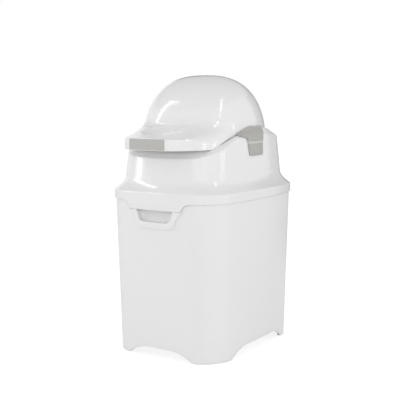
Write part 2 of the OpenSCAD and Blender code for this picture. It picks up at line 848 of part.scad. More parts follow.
module drum_cup() {
    boss_top = screw_seat + screw_l + 1;
    color(white) difference() {
        union() {
            disc(cup_r, mouth_plate_top, cup_top);
            disc(cup_flange_r, mouth_plate_top, mouth_plate_top + flange_t);
            at_cup_screws() disc(screw_r + 2.5, mouth_plate_top, boss_top);
        }
        disc(cup_inner_r, 0, cup_top - cup_wall);
        at_cup_screws() disc(screw_r, 0, screw_seat + screw_l);
    }
}

module cup_screws() {
    color("silver") at_cup_screws() screw(screw_seat, screw_l);
}

module trunnion(side) {
    collar_t = 3;
    inside = drum_half_w - drum_wall - fit;
    color("silver") mirror([side < 0 ? 1 : 0, 0, 0]) {
        bar(trunnion_r, inside - 0.01, bush_end - 0.5, 0, axis_z);
        bar(trunnion_r + 3, inside - collar_t, inside, 0, axis_z);
    }
}

// ---- Piston ----

piston_z = mouth_plate_top + seal_t + fit;
piston_top = piston_z + piston_t;
piston_r = cup_inner_r - piston_clearance;
cover_wall = 2;
cover_h = weight_t + cover_wall + fit;
piston_screw_r = (cover_r + piston_r) / 2 - 1;
piston_screws_n = 4;
groove_t = 2;
groove_d = 2;

module at_piston_screws() {
    for (i = [0 : piston_screws_n - 1])
        rotate(360 * (i + 0.5) / piston_screws_n) translate([piston_screw_r, 0, 0]) children();
}

module piston_plate() {
    middle = piston_z + piston_t / 2;
    color(white) difference() {
        disc(piston_r, piston_z, piston_top);
        difference() {
            disc(piston_r + 1, middle - groove_t / 2, middle + groove_t / 2);
            disc(piston_r - groove_d, 0, far);
        }
        at_piston_screws() disc(screw_r, piston_top + cover_wall - piston_screw_l, far);
    }
}

module piston_seal() {
    middle = piston_z + piston_t / 2;
    color("gray") difference() {
        disc(cup_inner_r - fit, middle - groove_t / 2, middle + groove_t / 2);
        disc(piston_r - groove_d, 0, far);
    }
}

module piston_weight() {
    color("dimgray") disc(weight_r, piston_top, piston_top + weight_t);
}

module piston_cover() {
    color(white) difference() {
        union() {
            disc(cover_r, piston_top, piston_top + cover_h);
            disc(piston_r, piston_top, piston_top + cover_wall);
        }
        disc(cover_r - cover_wall, 0, piston_top + cover_h - cover_wall);
        at_piston_screws() disc(screw_r + 0.1, 0, far);
    }
}

module piston_screws() {
    top = piston_top + cover_wall;
    color("silver") at_piston_screws() {
        disc(screw_head_r, top, top + screw_head_h);
        disc(screw_r, top - piston_screw_l, top + 0.01);
    }
}

bin_tub();
bag_ring();
rim_gasket();
hinge_pin(-1);  // hinge_pin_left
hinge_pin(1);  // hinge_pin_right
head_shell();
head_funnel();
funnel_screws();
drum_seal(-1);  // front_drum_seal
drum_seal(1);  // rear_drum_seal
bush(-1);  // bush_left
bush(1);  // bush_right
clip(-1);  // clip_left
clip(1);  // clip_right
drum_shell();
visor_underside();
handle_pad();
mouth_plate();
mouth_seal();
drum_cup();
cup_screws();
trunnion(-1);  // trunnion_left
trunnion(1);  // trunnion_right
piston_plate();
piston_seal();
piston_weight();
piston_cover();
piston_screws();
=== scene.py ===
# %% [markdown]
# # A nappy bin in moulded plastic
# The bin is a deep tub, a head hinged to its back, and a rounded drum that turns in the
# head and carries a visor to push. The tub has a satin skin, and the head and drum are
# glossy. Everything is placed in the same frame as the CAD part, so no piece is fitted
# by eye: the sizes below are the part's own, in millimetres.

# %% Open the fixed frame
import math

import bmesh
import bpy
import numpy as np
from mathutils import Matrix, Vector


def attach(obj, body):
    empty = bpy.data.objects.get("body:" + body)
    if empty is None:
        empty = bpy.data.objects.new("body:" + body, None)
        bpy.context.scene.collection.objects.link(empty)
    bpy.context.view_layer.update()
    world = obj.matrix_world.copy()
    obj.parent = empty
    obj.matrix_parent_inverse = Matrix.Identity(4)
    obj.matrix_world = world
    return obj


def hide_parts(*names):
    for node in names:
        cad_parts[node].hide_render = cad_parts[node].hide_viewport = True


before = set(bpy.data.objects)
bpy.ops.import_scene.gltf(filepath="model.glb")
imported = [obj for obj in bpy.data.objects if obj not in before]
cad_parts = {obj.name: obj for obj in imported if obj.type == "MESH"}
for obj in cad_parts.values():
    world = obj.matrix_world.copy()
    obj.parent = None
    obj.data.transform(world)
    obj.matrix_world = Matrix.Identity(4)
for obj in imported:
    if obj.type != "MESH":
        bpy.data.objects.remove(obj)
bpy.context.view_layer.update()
MM = 0.001

# %% [markdown]
# ## The camera
# The camera comes first, because it decides how much of each piece is seen. It stands to
# the right of the front and a little above the middle, with a long lens, as is usual for
# a product on a white table. The numbers are a place, a point to look at and a lens.

# %% Stand the camera
CAMERA_AT = (1.02723, -1.59241, 0.55459)
LOOK_AT = (0.00512, 0.00328, 0.30145)
LENS_MM, SENSOR_MM = 73.48, 36

camera_data = bpy.data.cameras.new("studio_camera")
camera_data.sensor_width = SENSOR_MM
camera_data.lens = LENS_MM
camera = bpy.data.objects.new("studio_camera", camera_data)
camera.location = CAMERA_AT
camera.rotation_euler = (Vector(LOOK_AT) - Vector(CAMERA_AT)).to_track_quat("-Z", "Y").to_euler()
bpy.context.scene.collection.objects.link(camera)
bpy.context.scene.camera = camera
print("camera stands", round((Vector(LOOK_AT) - Vector(CAMERA_AT)).length, 3), "m away")

# %% [markdown]
# ## Shader maths in plain Python
# A procedural material is a small sum of noises. Wiring each Math node by hand hides the
# sum, so one class wraps a socket and lets Python's own signs add the nodes. Every other
# node comes from one method, which takes its type, its settings and its inputs. The
# studio's plain colours at the end are wired by the same method.

# %% A number on a surface, and a material to mix
class Tone:
    """What a node puts out. Signs between two of them add Math nodes."""

    def __init__(self, wiring, socket):
        self.wiring, self.socket = wiring, socket

    def maths(self, operation, first, second):
        return self.wiring.node("ShaderNodeMath", {"operation": operation}, {0: first, 1: second})

    def __add__(self, other): return self.maths("ADD", self, other)
    def __radd__(self, other): return self.maths("ADD", other, self)
    def __sub__(self, other): return self.maths("SUBTRACT", self, other)
    def __rsub__(self, other): return self.maths("SUBTRACT", other, self)
    def __mul__(self, other): return self.maths("MULTIPLY", self, other)
    def __rmul__(self, other): return self.maths("MULTIPLY", other, self)
    def __pow__(self, other): return self.maths("POWER", self, other)


class Wiring:
    """The nodes of a material or a world, emptied first."""

    def __init__(self, owner):
        owner.use_nodes = True
        self.tree = owner.node_tree
        self.tree.nodes.clear()

    def node(self, kind, settings, inputs, output=0):
        made = self.tree.nodes.new(kind)
        for name, value in settings.items():
            setattr(made, name, value)
        for name, value in inputs.items():
            self.join(value, made.inputs[name])
        return Tone(self, made.outputs[output]) if made.outputs else made

    def join(self, value, socket):
        if isinstance(value, Tone):
            self.tree.links.new(value.socket, socket)
        else:
            socket.default_value = value


class Paint(Wiring):
    """A material with one Principled shader, and the nodes that feed it."""

    def __init__(self, name):
        self.material = bpy.data.materials.new(name)
        super().__init__(self.material)
        principled = self.node("ShaderNodeBsdfPrincipled", {}, {})
        self.shader = principled.socket.node
        self.node("ShaderNodeOutputMaterial", {}, {0: principled})
        self.place = self.node("ShaderNodeTexCoord", {}, {}, "Object")

    def set(self, **values):
        for name, value in values.items():
            self.join(value, self.shader.inputs[name.replace("_", " ")])

    def noise(self, scale, detail, stretch=None):
        where_on = self.place
        if stretch:
            where_on = self.node("ShaderNodeMapping", {}, {"Vector": self.place, "Scale": stretch})
        return self.node("ShaderNodeTexNoise", {}, {"Vector": where_on, "Scale": scale, "Detail": detail})

    def upright(self):
        """Height in metres, from the Object coordinate."""
        return self.node("ShaderNodeSeparateXYZ", {}, {"Vector": self.place}, 2)

    def mixed(self, mask, first, second):
        """Goes from the first colour to the second by a mask; sockets 6 and 7 are the colours."""
        colours = [colour if isinstance(colour, Tone) else (*colour, 1) for colour in (first, second)]
        return self.node("ShaderNodeMix", {"data_type": "RGBA"}, {0: mask, 6: colours[0], 7: colours[1]}, 2)

    def bumps(self, height_mm):
        return self.node("ShaderNodeBump", {}, {"Height": height_mm, "Distance": MM, "Strength": 1.0})


print("shader helpers are ready")

# %% [markdown]
# ## The plastics
# The real bin has a satin white on the tub, where the steel of the mould is lightly
# etched, a polished white on the head and drum, and a soft warm grey on the pad and, a
# shade darker, on the side clips. A flat colour looks like paint, so each finish gets what
# a moulding has: a very slight drift of tone, a gloss that varies a little, and a skin
# texture, which is fine grain on the satin parts and a slow ripple on the glossy ones.
# The clips also get a painted highlight: a paler band of their colour where they bend, standing in for the
# light that the bend catches.

# %% Mix a moulded plastic
DRIFT_SCALE, RIPPLE_SCALE = 9.0, 38.0
COAT_GLOSS, PLASTIC_IOR = 0.06, 1.5


def moulded(name, colour, gloss, drift, grain_scale, grain_depth, ripple=0.0, coat=0.0, line=None):
    """colour is linear; gloss is the roughness; drift is the share by which the tone moves.
    A line is a painted highlight: a height in mm, a half width in mm and a gain; the tone is that much lighter
    there."""
    paint = Paint(name)
    slow = paint.noise(DRIFT_SCALE, 1.0)
    fine = paint.noise(grain_scale, 3.0)
    darker = [c * (1 - drift) for c in colour]
    tone = paint.mixed(slow, darker, colour)
    if line:
        # Painted highlight: the tone is lighter in a band around one height, standing in for light caught where
        # the clips bend.
        height, half_width, highlight_gain = line
        away = paint.upright() - height * MM
        tone = paint.mixed(1 - away ** 2 * (half_width * MM) ** -2, tone, [c * highlight_gain for c in colour])
    paint.set(Base_Color=tone)
    paint.set(Roughness=gloss * 0.9 + slow * (gloss * 0.2))
    paint.set(Normal=paint.bumps(fine * grain_depth + paint.noise(RIPPLE_SCALE, 1.0) * ripple))
    paint.set(Coat_Weight=coat, Coat_Roughness=COAT_GLOSS, IOR=PLASTIC_IOR)
    return paint.material


satin_white = moulded("satin_white", (0.80, 0.80, 0.80), 0.34, 0.02, 2400.0, 0.006)
gloss_white = moulded("gloss_white", (0.80, 0.80, 0.80), 0.17, 0.015, 900.0, 0.0004, 0.005, 0.35)
inner_white = moulded("inner_white", (0.78, 0.78, 0.77), 0.42, 0.03, 1500.0, 0.008)
pad_grey = moulded("pad_grey", (0.47, 0.464, 0.44), 0.5, 0.05, 1900.0, 0.012)
# A painted highlight on the clips' bend: its height in mm, half width in mm and gain.
PAINTED_BEND_HIGHLIGHT = (453.2, 3.2, 1.36)
clip_grey = moulded("clip_grey", (0.43, 0.424, 0.402), 0.45, 0.04, 1900.0, 0.008, line=PAINTED_BEND_HIGHLIGHT)
seal_rubber = moulded("seal_rubber", (0.10, 0.10, 0.105), 0.6, 0.1, 1200.0, 0.01)
bush_nylon = moulded("bush_nylon", (0.50, 0.50, 0.47), 0.4, 0.04, 1200.0, 0.006)
print("plastics:", [m.name for m in bpy.data.materials if m.use_nodes])

# %% [markdown]
# ## The metals
# The pins, screws and trunnions are turned steel, and the piston's weight is a rough
# casting. Turned steel has fine rings around its axis that stretch a highlight, so its
# roughness is a noise squeezed along one axis.

# %% Mix the metals
SQUEEZED = (6.0, 0.3, 0.3)


def metal(name, colour, gloss, grain_scale, grain_depth):
    paint = Paint(name)
    streaks = paint.noise(grain_scale, 2.0, SQUEEZED)
    paint.set(Base_Color=paint.mixed(streaks, [c * 0.85 for c in colour], colour))
    paint.set(Roughness=gloss * 0.8 + streaks * (gloss * 0.4), Metallic=1.0)
    paint.set(Normal=paint.bumps(paint.noise(grain_scale, 3.0) * grain_depth))
    return paint.material


turned_steel = metal("turned_steel", (0.60, 0.60, 0.62), 0.25, 900.0, 0.004)
cast_steel = metal("cast_steel", (0.22, 0.22, 0.23), 0.55, 350.0, 0.06)
print("metals:", turned_steel.name, cast_steel.name)

# %% [markdown]
# ## Growing a skin ring by ring
# Most parts of the bin are mouldings of even thickness with one closed outline in plan.
# Such a part could be cut from a block, but its rounded edges would then depend on a
# bevel that fails where edges meet. Here a skin starts as one circle of vertices, each
# new ring is extruded from the last, and the rings follow the wall's section all the way
# round: up the outside, over the rim and down the inside. Each rounded edge is then a
# few rings, and the part is one closed shell.

# %% Start, extend and close a skin
def everything(skin):
    return skin.verts[:] + skin.edges[:] + skin.faces[:]


def place(ring, points):
    for vertex, point in zip(ring, points):
        vertex.co = Vector(point) * MM


def next_ring(skin, ring, points):
    """Extrudes a closed ring of vertices and moves the new ring to its points, in the same order."""
    edges = [skin.edges.get((vertex, ring[i - 1])) for i, vertex in enumerate(ring)]
    grown = bmesh.ops.extrude_edge_only(skin, edges=edges)["geom"]
    order = {vertex: i for i, vertex in enumerate(ring)}
    new = [None] * len(ring)
    for vertex in grown:
        if isinstance(vertex, bmesh.types.BMVert):
            for edge in vertex.link_edges:
                i = order.get(edge.other_vert(vertex))
                if i is not None:
                    new[i] = vertex
    place(new, points)
    return new


def grow(rings, ends="joined"):
    """ends says what becomes of the first and last ring: joined to each other, or capped."""
    skin = bmesh.new()
    bmesh.ops.create_circle(skin, cap_ends=False, segments=len(rings[0]), radius=1)
    first = skin.verts[:]
    place(first, rings[0])
    ring = first
    for points in rings[1:]:
        ring = next_ring(skin, ring, points)
    if ends == "joined":
        last = next_ring(skin, ring, rings[0])
        bmesh.ops.weld_verts(skin, targetmap=dict(zip(last, first)))
    else:
        for end in (first, ring):
            border = [skin.edges.get((vertex, end[i - 1])) for i, vertex in enumerate(end)]
            bmesh.ops.contextual_create(skin, geom=end + border)
    bmesh.ops.recalc_face_normals(skin, faces=skin.faces)
    return skin


# %% Finish a piece
def as_object(skin, name):
    """Turns a bmesh into an object at the origin."""
    mesh = bpy.data.meshes.new(name)
    skin.to_mesh(mesh)
    skin.free()
    made = bpy.data.objects.new(name, mesh)
    bpy.context.scene.collection.objects.link(made)
    return made


def finish_piece(name, skin, material, body, replaces=(), crease=38):
    """Turns a bmesh into a smooth piece that rides on a body; edges above crease degrees stay sharp."""
    piece = as_object(skin, name)
    mesh = piece.data
    mesh.polygons.foreach_set("use_smooth", [True] * len(mesh.polygons))
    mesh.set_sharp_from_angle(angle=math.radians(crease))
    mesh.materials.append(material)
    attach(piece, body)
    if replaces:
        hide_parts(*replaces)
    print(f"{name}: {len(mesh.vertices)} vertices on {body}")
    return piece


# %% [markdown]
# ## The plan
# Seen from above, the tub and the head are a rectangle with large round corners whose
# four sides bow outwards. All rings are made at the same stations around this plan, so
# that the columns of vertices run straight up the part.

# %% Stations around the plan
SKIRT_HALF, SKIRT_R = (150.9, 198.1), 55.1
SIDE_BOW = 0.099
SIDE_STEPS, CORNER_STEPS, END_STEPS = 22, 14, 12
TAB_HALF, TAB_FLARE = 65.5, 21.5


def smooth(t):
    """Goes softly from 0 to 1 as t does."""
    u = np.clip(t, 0, 1)
    return u * u * (3 - 2 * u)


def end_stations():
    """Shares of the end's straight part, with extra stations on the tab's swept sides."""
    straight = (SKIRT_HALF[0] - SKIRT_R) * (1 - SIDE_BOW)
    swept = TAB_HALF + TAB_FLARE * (1 - np.cos(np.radians(np.arange(0, 90, 9))))
    even = np.linspace(0, 1, END_STEPS, endpoint=False)[1:]
    clear = even[np.abs(even[:, None] * straight - swept[None, :]).min(axis=1) > 2.5]
    at_tab = np.append(swept[swept < straight], TAB_HALF - 0.02) / straight
    return np.sort(np.concatenate([clear, at_tab]))[::-1]


def full_turn(quarter, at_end):
    """Repeats one quarter's stations all the way round the plan."""
    return np.tile(np.concatenate([quarter, [at_end], quarter[:0:-1]]), 2)


side_at = np.linspace(0, 1, SIDE_STEPS, endpoint=False)
corner_at = np.radians(np.linspace(0, 90, CORNER_STEPS, endpoint=False))
end_at = end_stations()
where = full_turn(np.concatenate([side_at, corner_at, end_at]), 0.0)
kind = full_turn(np.repeat([0, 1, 2], [len(side_at), len(corner_at), len(end_at)]), 2)
half = len(kind) // 2
sign_x = np.where(np.arange(half) <= half // 2, 1, -1)
sign_x = np.concatenate([sign_x, -sign_x])
sign_y = np.repeat([1, -1], half)


def plan(a, b, r):
    """Points around the plan with half sizes a and b and corner radius r."""
    x = np.select([kind == 0, kind == 1], [a + 0 * where, a - r + r * np.cos(where)], (a - r) * where)
    y = np.select([kind == 0, kind == 1], [(b - r) * where, b - r + r * np.sin(where)], b + 0 * where)
    bowed_x, bowed_y = x * (1 - SIDE_BOW * (y / b) ** 2), y * (1 - SIDE_BOW * (x / a) ** 2)
    return np.column_stack([sign_x * bowed_x, sign_y * bowed_y])


def at(points, z):
    """Lifts points in plan to a height, or each to its own."""
    return np.column_stack([points, np.broadcast_to(z, (len(points),))])


def leaning(low, high, t, out=0.0, inset=0.0):
    """Half sizes of a leaning wall at a share t of its height, moved out; inset narrows its foot."""
    return (a - inset + t * (b - a + inset) + out for a, b in zip(low, high))


print("stations around the plan:", len(kind))

# %% [markdown]
# ## The tub
# The tub is one moulding with thin walls that lean out a little towards the rim. Its
# skirt stands on four feet, with a low arch between each two. Cutting the arches with a
# boolean would leave ragged faces, so the lower edge of every column of vertices simply
# starts at the height of the arch there. Inside each foot a narrow sole turns inwards.

# %% The tub's sizes
RIM_H = 346.0
FLOOR_HALF = (143.3, 183.8)
RIM_HALF = (148.2, 195.4)
CORNER_R = 52.4
TUB_WALL = 3.0
ARCH_H, ARCH_RUN = 22.5, 60.0
FRONT_ARCH_W, SIDE_ARCH_W = 163.4, 218.4
SOLE_W, SOLE_T = 9.0, 4.0


def tub_at(z, out=0.0):
    """The tub's outline at height z, which may differ from column to column, moved out."""
    a, b = leaning(FLOOR_HALF, RIM_HALF, z / RIM_H, out)
    return at(plan(a, b, CORNER_R + out), z)


def arch(distance, width):
    """Height of an arch at a distance from its middle: it leaves the foot at a corner."""
    inside = np.clip((width / 2 - np.abs(distance)) / ARCH_RUN, 0, 1)
    return ARCH_H * (1 - (1 - inside) ** 2.2)


foot = tub_at(0.0)
lower_edge = np.maximum(arch(foot[:, 0], FRONT_ARCH_W), arch(foot[:, 1], SIDE_ARCH_W))
print("arches rise to", round(float(lower_edge.max()), 1), "mm")

# %% Grow the tub's wall
EDGE, EDGE_BEND = 0.8, 0.23
SKIRT_H = 38.0
sole_in = -TUB_WALL - (SOLE_W - TUB_WALL) * smooth(1 - lower_edge / SOLE_T)
tub_rings = [tub_at(lower_edge, -EDGE), tub_at(lower_edge + EDGE_BEND, -EDGE_BEND), tub_at(lower_edge + EDGE)]
skirt_rise = SKIRT_H - lower_edge - EDGE
tub_rings += [tub_at(lower_edge + EDGE + skirt_rise * share) for share in (0.3, 0.65, 1.0)]
tub_rings += [tub_at(z) for z in (60, 95, 130, 165, 200, 230, 255, 272, 288, 304, 320, 334, 344.6)]
tub_rings += [tub_at(z, out) for z, out in ((345.5, -0.2), (346, -0.8), (346, -2.2), (345.5, -2.8), (344.6, -3),
                                            (300, -3), (180, -3), (38, -3))]
tub_rings += [tub_at(lower_edge + SOLE_T + 0.2, -TUB_WALL), tub_at(lower_edge + SOLE_T, sole_in),
              tub_at(lower_edge + 0.3, sole_in), tub_at(lower_edge, sole_in + 0.3)]
tub_skin = grow(tub_rings)

# %% [markdown]
# ## Cutting one part with another
# The finger pocket needs a hole in the tub's wall. A boolean modifier cuts it exactly,
# and its result is kept as the piece's mesh, so nothing live is left on the piece. The
# ragged faces that a boolean leaves are hidden here, because the pocket's raised frame
# covers the edge of the hole.

# %% Cut or join with a boolean
def as_modified(scratch):
    """The first scratch object as its modifier leaves it, in a bmesh. The scratch objects go."""
    bpy.context.view_layer.update()
    solid = scratch[0].evaluated_get(bpy.context.evaluated_depsgraph_get())
    result = bmesh.new()
    result.from_mesh(solid.to_mesh())
    solid.to_mesh_clear()
    for part in scratch:
        bpy.data.objects.remove(part)
    return result


def with_boolean(skin, other, operation):
    """Returns skin cut by, or joined to, another closed mesh."""
    scratch = [as_object(part, "boolean_part") for part in (skin, other)]
    boolean = scratch[0].modifiers.new("boolean", "BOOLEAN")
    boolean.operation, boolean.object, boolean.solver = operation, scratch[1], "EXACT"
    result = as_modified(scratch)
    print(operation.lower(), "left", len(result.faces), "faces and",
          sum(not e.is_manifold for e in result.edges), "open edges")
    return result


# %% [markdown]
# ## The grip under the tab
# The hand lifts the head by a tab, and reaches under it into a pocket in the tub. The
# pocket's mouth is a scoop: straight sides that lean in, and two round corners below. A
# raised frame of the same kind of outline runs around it. Both outlines are drawn flat
# and then laid on the bowed front wall. The pocket is a shallow bowl: its mouth shrinks
# towards the back in rings, and the last ring is closed.

# %% The finger pocket and its frame
TAB_Z = 318.5
POCKET = dict(top_w=92.0, foot_w=74.0, z_top=318.5, z_foot=293.2, r=13.0)
FRAME = dict(top_w=131.0, foot_w=75.0, z_top=317.7, z_foot=280.0, r=18.0)
POCKET_TOP, POCKET_BACK = 329.0, -180.5
FRAME_PROUD = 2.7
SCOOP_STEPS = 9


def scoop(top_w, foot_w, z_top, z_foot, r, grow_by=0.0):
    """A cup-shaped outline in X and Z, from its top left corner round to its top right."""
    slope = (top_w - foot_w) / 2 / (z_top - z_foot)
    edge = foot_w / 2 + slope * r
    turn = np.radians(np.linspace(0, 90, SCOOP_STEPS))
    side = np.linspace(0, 1, SCOOP_STEPS)[:-1, None]
    left = (1 - side) * [-top_w / 2, z_top] + side * [-edge, z_foot + r]
    bend = np.column_stack([-edge + r * (1 - np.cos(turn)), z_foot + r * (1 - np.sin(turn))])
    flat = np.column_stack([np.linspace(bend[-1, 0], 0, SCOOP_STEPS)[1:], np.full(SCOOP_STEPS - 1, z_foot)])
    points = np.concatenate([left, bend, flat])
    points = np.concatenate([points, points[-2::-1] * [-1, 1]])
    x_out, z_out = np.sign(points[:, 0]) * 1.1, np.where(points[:, 1] < z_top - 0.1, -1, 0)
    return points + grow_by * np.column_stack([x_out, z_out])


def front_wall(x, z, out=0.0):
    """Depth of the tub's front face at x and z, moved out."""
    a, b = leaning(FLOOR_HALF, RIM_HALF, z / RIM_H)
    return -(b + out) * (1 - SIDE_BOW * (x / (1 - SIDE_BOW) / a) ** 2)


def on_wall(outline, out):
    """Lays an outline in X and Z on the front face."""
    return np.column_stack([outline[:, 0], front_wall(outline[:, 0], outline[:, 1], out), outline[:, 1]])


frame_edge, pocket_edge = scoop(**FRAME), scoop(**POCKET)
across = pocket_edge - frame_edge
across /= np.linalg.norm(across, axis=1)[:, None]
strip = [(frame_edge, -1.5), (frame_edge, FRAME_PROUD - 0.9),
         (frame_edge + 0.27 * across, FRAME_PROUD - 0.27),
         (frame_edge + 0.9 * across, FRAME_PROUD), ((frame_edge + pocket_edge) / 2, FRAME_PROUD),
         (pocket_edge - 1.1 * across, FRAME_PROUD), (pocket_edge - 0.33 * across, FRAME_PROUD - 0.33),
         (pocket_edge, FRAME_PROUD - 1.1), (pocket_edge, -2.0)]
sections = np.stack([on_wall(outline, out) for outline, out in strip], axis=1)
frame_skin = grow(list(sections), ends="capped")
print("grip frame has", len(frame_skin.faces), "faces")

# %% Grow the pocket's bowl and cut its hole
POCKET_WALL, POCKET_BULGE, MOUTH_IN = 2.2, 6, 0.4
DRAWN_IN, LIFTED = 0.3, 0.55


def pocket_ring(grow_by, y=None, share=0.0):
    """The scoop with a straight top behind the tab, on the wall or at a depth, drawn in by a share."""
    outline = scoop(**POCKET, grow_by=grow_by)
    outline = outline * [1 - DRAWN_IN * share, 1 - LIFTED * share] + [0, LIFTED * share * POCKET["z_top"]]
    span = np.linspace(outline[-1, 0], outline[0, 0], 13)
    top = np.column_stack([span, np.full(13, POCKET_TOP + grow_by)])
    ring = on_wall(np.concatenate([outline, top]), 0.0)
    ring[:, 1] = ring[:, 1] + MOUTH_IN if y is None else y
    return ring


pocket_rings = [pocket_ring(POCKET_WALL, POCKET_BACK + POCKET_WALL), pocket_ring(POCKET_WALL), pocket_ring(0.0)]
pocket_rings += [pocket_ring(0.0, POCKET_BACK - POCKET_BULGE * (1 - t) ** 2, t) for t in np.linspace(0.1, 1, 9)]
pocket_skin = grow(pocket_rings, ends="capped")
hole = grow([pocket_ring(1.0, -230.0), pocket_ring(1.0, POCKET_BACK)], ends="capped")
tub_skin = with_boolean(tub_skin, hole, "DIFFERENCE")
finish_piece("tub_wall", tub_skin, satin_white, "bin", replaces=["bin_tub"])
finish_piece("grip_frame", frame_skin, satin_white, "bin")
finish_piece("finger_pocket", pocket_skin, satin_white, "bin")

# %% [markdown]
# ## The floor
# The floor is a shallow dish that runs into the wall with a generous radius, so that the
# tub wipes clean. Its rings shrink from the wall to the flat middle.

# %% Grow the floor
floor_rings = [tub_at(z, out) for z, out in ((32.0, -2.6), (46.0, -2.6), (46.0, -3.1), (40.5, -4.4),
                                             (37.0, -7.5), (35.4, -12.0), (35.0, -18.0))]
finish_piece("tub_floor", grow(floor_rings, ends="capped"), inner_white, "bin")

# %% [markdown]
# ## The hinge at the back
# The head's hinge is two steel pins in short barrels. Each barrel and its gusset are one
# side view, pushed out along the pin and with their edges rounded: an extrude and a
# bevel are enough, because the outline has no curve across it.

# %% Push a side view out along X
HINGE_Y, HINGE_Z, BARREL_R = 206.5, 329.0, 6.5
HINGE_X, HEAD_BARREL_L, TUB_BARREL_L, BARREL_GAP = 45.0, 22.0, 10.0, 0.3


def side_view(outlines, x0, x1, edge=0.7):
    """A bar with a side view in Y and Z, between x0 and x1, with rounded edges."""
    bar = bmesh.new()
    bmesh.ops.create_circle(bar, cap_ends=True, segments=len(outlines), radius=1)
    place(bar.verts[:], [(x0, y, z) for y, z in outlines])
    pushed = bmesh.ops.extrude_face_region(bar, geom=bar.faces[:])["geom"]
    pushed = [v for v in pushed if isinstance(v, bmesh.types.BMVert)]
    bmesh.ops.translate(bar, vec=((x1 - x0) * MM, 0, 0), verts=pushed)
    bmesh.ops.recalc_face_normals(bar, faces=bar.faces)
    rims = [e for e in bar.edges if abs(e.verts[0].co.x - e.verts[1].co.x) < 1e-6]
    bmesh.ops.bevel(bar, geom=rims, offset=edge * MM, segments=3, profile=0.5, affect="EDGES", material=-1)
    return bar


def arc(centre, radius, start, end, steps=18):
    """Points of an arc, with its two ends in degrees."""
    turn = np.radians(np.linspace(start, end, steps))
    return [(centre[0] + radius * math.cos(t), centre[1] + radius * math.sin(t)) for t in turn]


def join_skins(parts):
    """Several closed skins in one bmesh."""
    whole = bmesh.new()
    for part in parts:
        mesh = bpy.data.meshes.new("part")
        part.to_mesh(mesh)
        part.free()
        whole.from_mesh(mesh)
        bpy.data.meshes.remove(mesh)
    return whole


pin = (HINGE_Y, HINGE_Z)
lug_view = arc(pin, BARREL_R, 90, -90) + [(HINGE_Y - 6, HINGE_Z - 11.5), (193.0, HINGE_Z - 19),
                                          (193.0, HINGE_Z + 4), (HINGE_Y - 4, HINGE_Z + 4.4)]
barrel_view = arc(pin, BARREL_R, 20, -200) + [(194.5, 337.0), (196.0, 351.0), (HINGE_Y, HINGE_Z + 18)]
head_half = HEAD_BARREL_L / 2
lugs = []
for x in (-HINGE_X, HINGE_X):
    near, far = x - head_half - BARREL_GAP, x + head_half + BARREL_GAP
    lugs += [side_view(lug_view, near - TUB_BARREL_L, near), side_view(lug_view, far, far + TUB_BARREL_L)]
finish_piece("hinge_lugs", join_skins(lugs), satin_white, "bin")
barrels = [side_view(barrel_view, x - head_half, x + head_half) for x in (-HINGE_X, HINGE_X)]
finish_piece("head_hinge_barrels", join_skins(barrels), gloss_white, "head")

# %% [markdown]
# ## The head
# The head is a skirt that laps over the tub's rim, a hollow flare, a wall that leans in,
# and a shoulder that rises from the front to the sides around the drum. A tab hangs from
# the skirt's front as the upper half of the grip. One section runs round the whole part:
# out at the skirt, up the flare and the wall, over the shoulder, down a short lip beside
# the drum, and back down the inside. In front, under the visor, the shoulder swells a
# little between its two edges, and the swelling fades out towards the sides.

# %% The head's sizes and edges
SKIRT_Z, BAND_TOP, SKIRT_TOP, FLARE_TOP = 335.0, 352.8, 355.2, 387.2
WALL_R = 50.0
BAND_EDGE, FLARE_IN = 1.5, 21.0
SHOULDER_Z, SHOULDER_HALF = 468.0, (125.0, 167.0)
OPENING_HALF, OPENING_ROUND = (119.0, 139.5), 3.5
LIP_H, LIP_T, HEAD_WALL = 12.0, 2.5, 3.0
SHOULDER_SWELL, SHOULDER_SOFT = 6.0, 3.4


def shoulder_edge(y):
    """Height of the shoulder's outer edge: it rises from the front and falls a little at the rear."""
    return 420 + 48 * smooth((y + 200.4) / 175.4) - 8 * smooth((y - 60) / 107)


def opening_edge(y):
    """Height of the shoulder's inner edge, around the drum."""
    return shoulder_edge(y) + 6 + 10 * smooth((y + 60) / 60) - 6 * smooth((y - 45) / 60)


def skirt_at(z, out=0.0):
    return at(plan(SKIRT_HALF[0] + out, SKIRT_HALF[1] + out, SKIRT_R + out), z)


def flare_at(t, out=0.0):
    """The flare's ring at a share t of its height; it is a parabola in section."""
    inset = BAND_EDGE + (FLARE_IN - BAND_EDGE) * (1 - (1 - t) ** 2) - out
    corner = SKIRT_R + (WALL_R - SKIRT_R) * t + out
    return at(plan(SKIRT_HALF[0] - inset, SKIRT_HALF[1] - inset, corner), SKIRT_TOP + 32 * t + out / 2)


def wall_at(z, out=0.0):
    t = (z - FLARE_TOP) / (SHOULDER_Z - FLARE_TOP)
    a, b = leaning(SKIRT_HALF, SHOULDER_HALF, t, out, FLARE_IN)
    return at(plan(a, b, WALL_R + out), z)


def opening_at(out=0.0, drop=0.0):
    """The opening's edge, met along a ray from the middle through each wall station."""
    a, b = (size + out for size in OPENING_HALF)
    ray = wall_at(SHOULDER_Z)[:, :2] / [a, b]
    reach = (np.abs(ray) ** OPENING_ROUND).sum(axis=1) ** (-1 / OPENING_ROUND)
    points = ray * reach[:, None] * [a, b]
    return at(points, opening_edge(points[:, 1]) - drop)


def tab_edge():
    """Height of the skirt's lower edge: it drops in front to make the tab."""
    x, y = skirt_at(0.0)[:, :2].T
    swept = np.clip((np.abs(x) - TAB_HALF) / TAB_FLARE, 0, 1)
    rise = (SKIRT_Z - TAB_Z) * np.sqrt(np.clip(1 - (1 - swept) ** 2, 0, 1))
    return np.where(y < 0, TAB_Z + rise, SKIRT_Z)


def bend(start, corner, end, shares):
    """Rings along a soft corner, as shares of a quadratic curve."""
    return [(1 - t) ** 2 * start + 2 * t * (1 - t) * corner + t ** 2 * end for t in shares]


print("the shoulder rises from", *(round(float(shoulder_edge(y)), 1) for y in (-170.0, 0.0)), "mm")

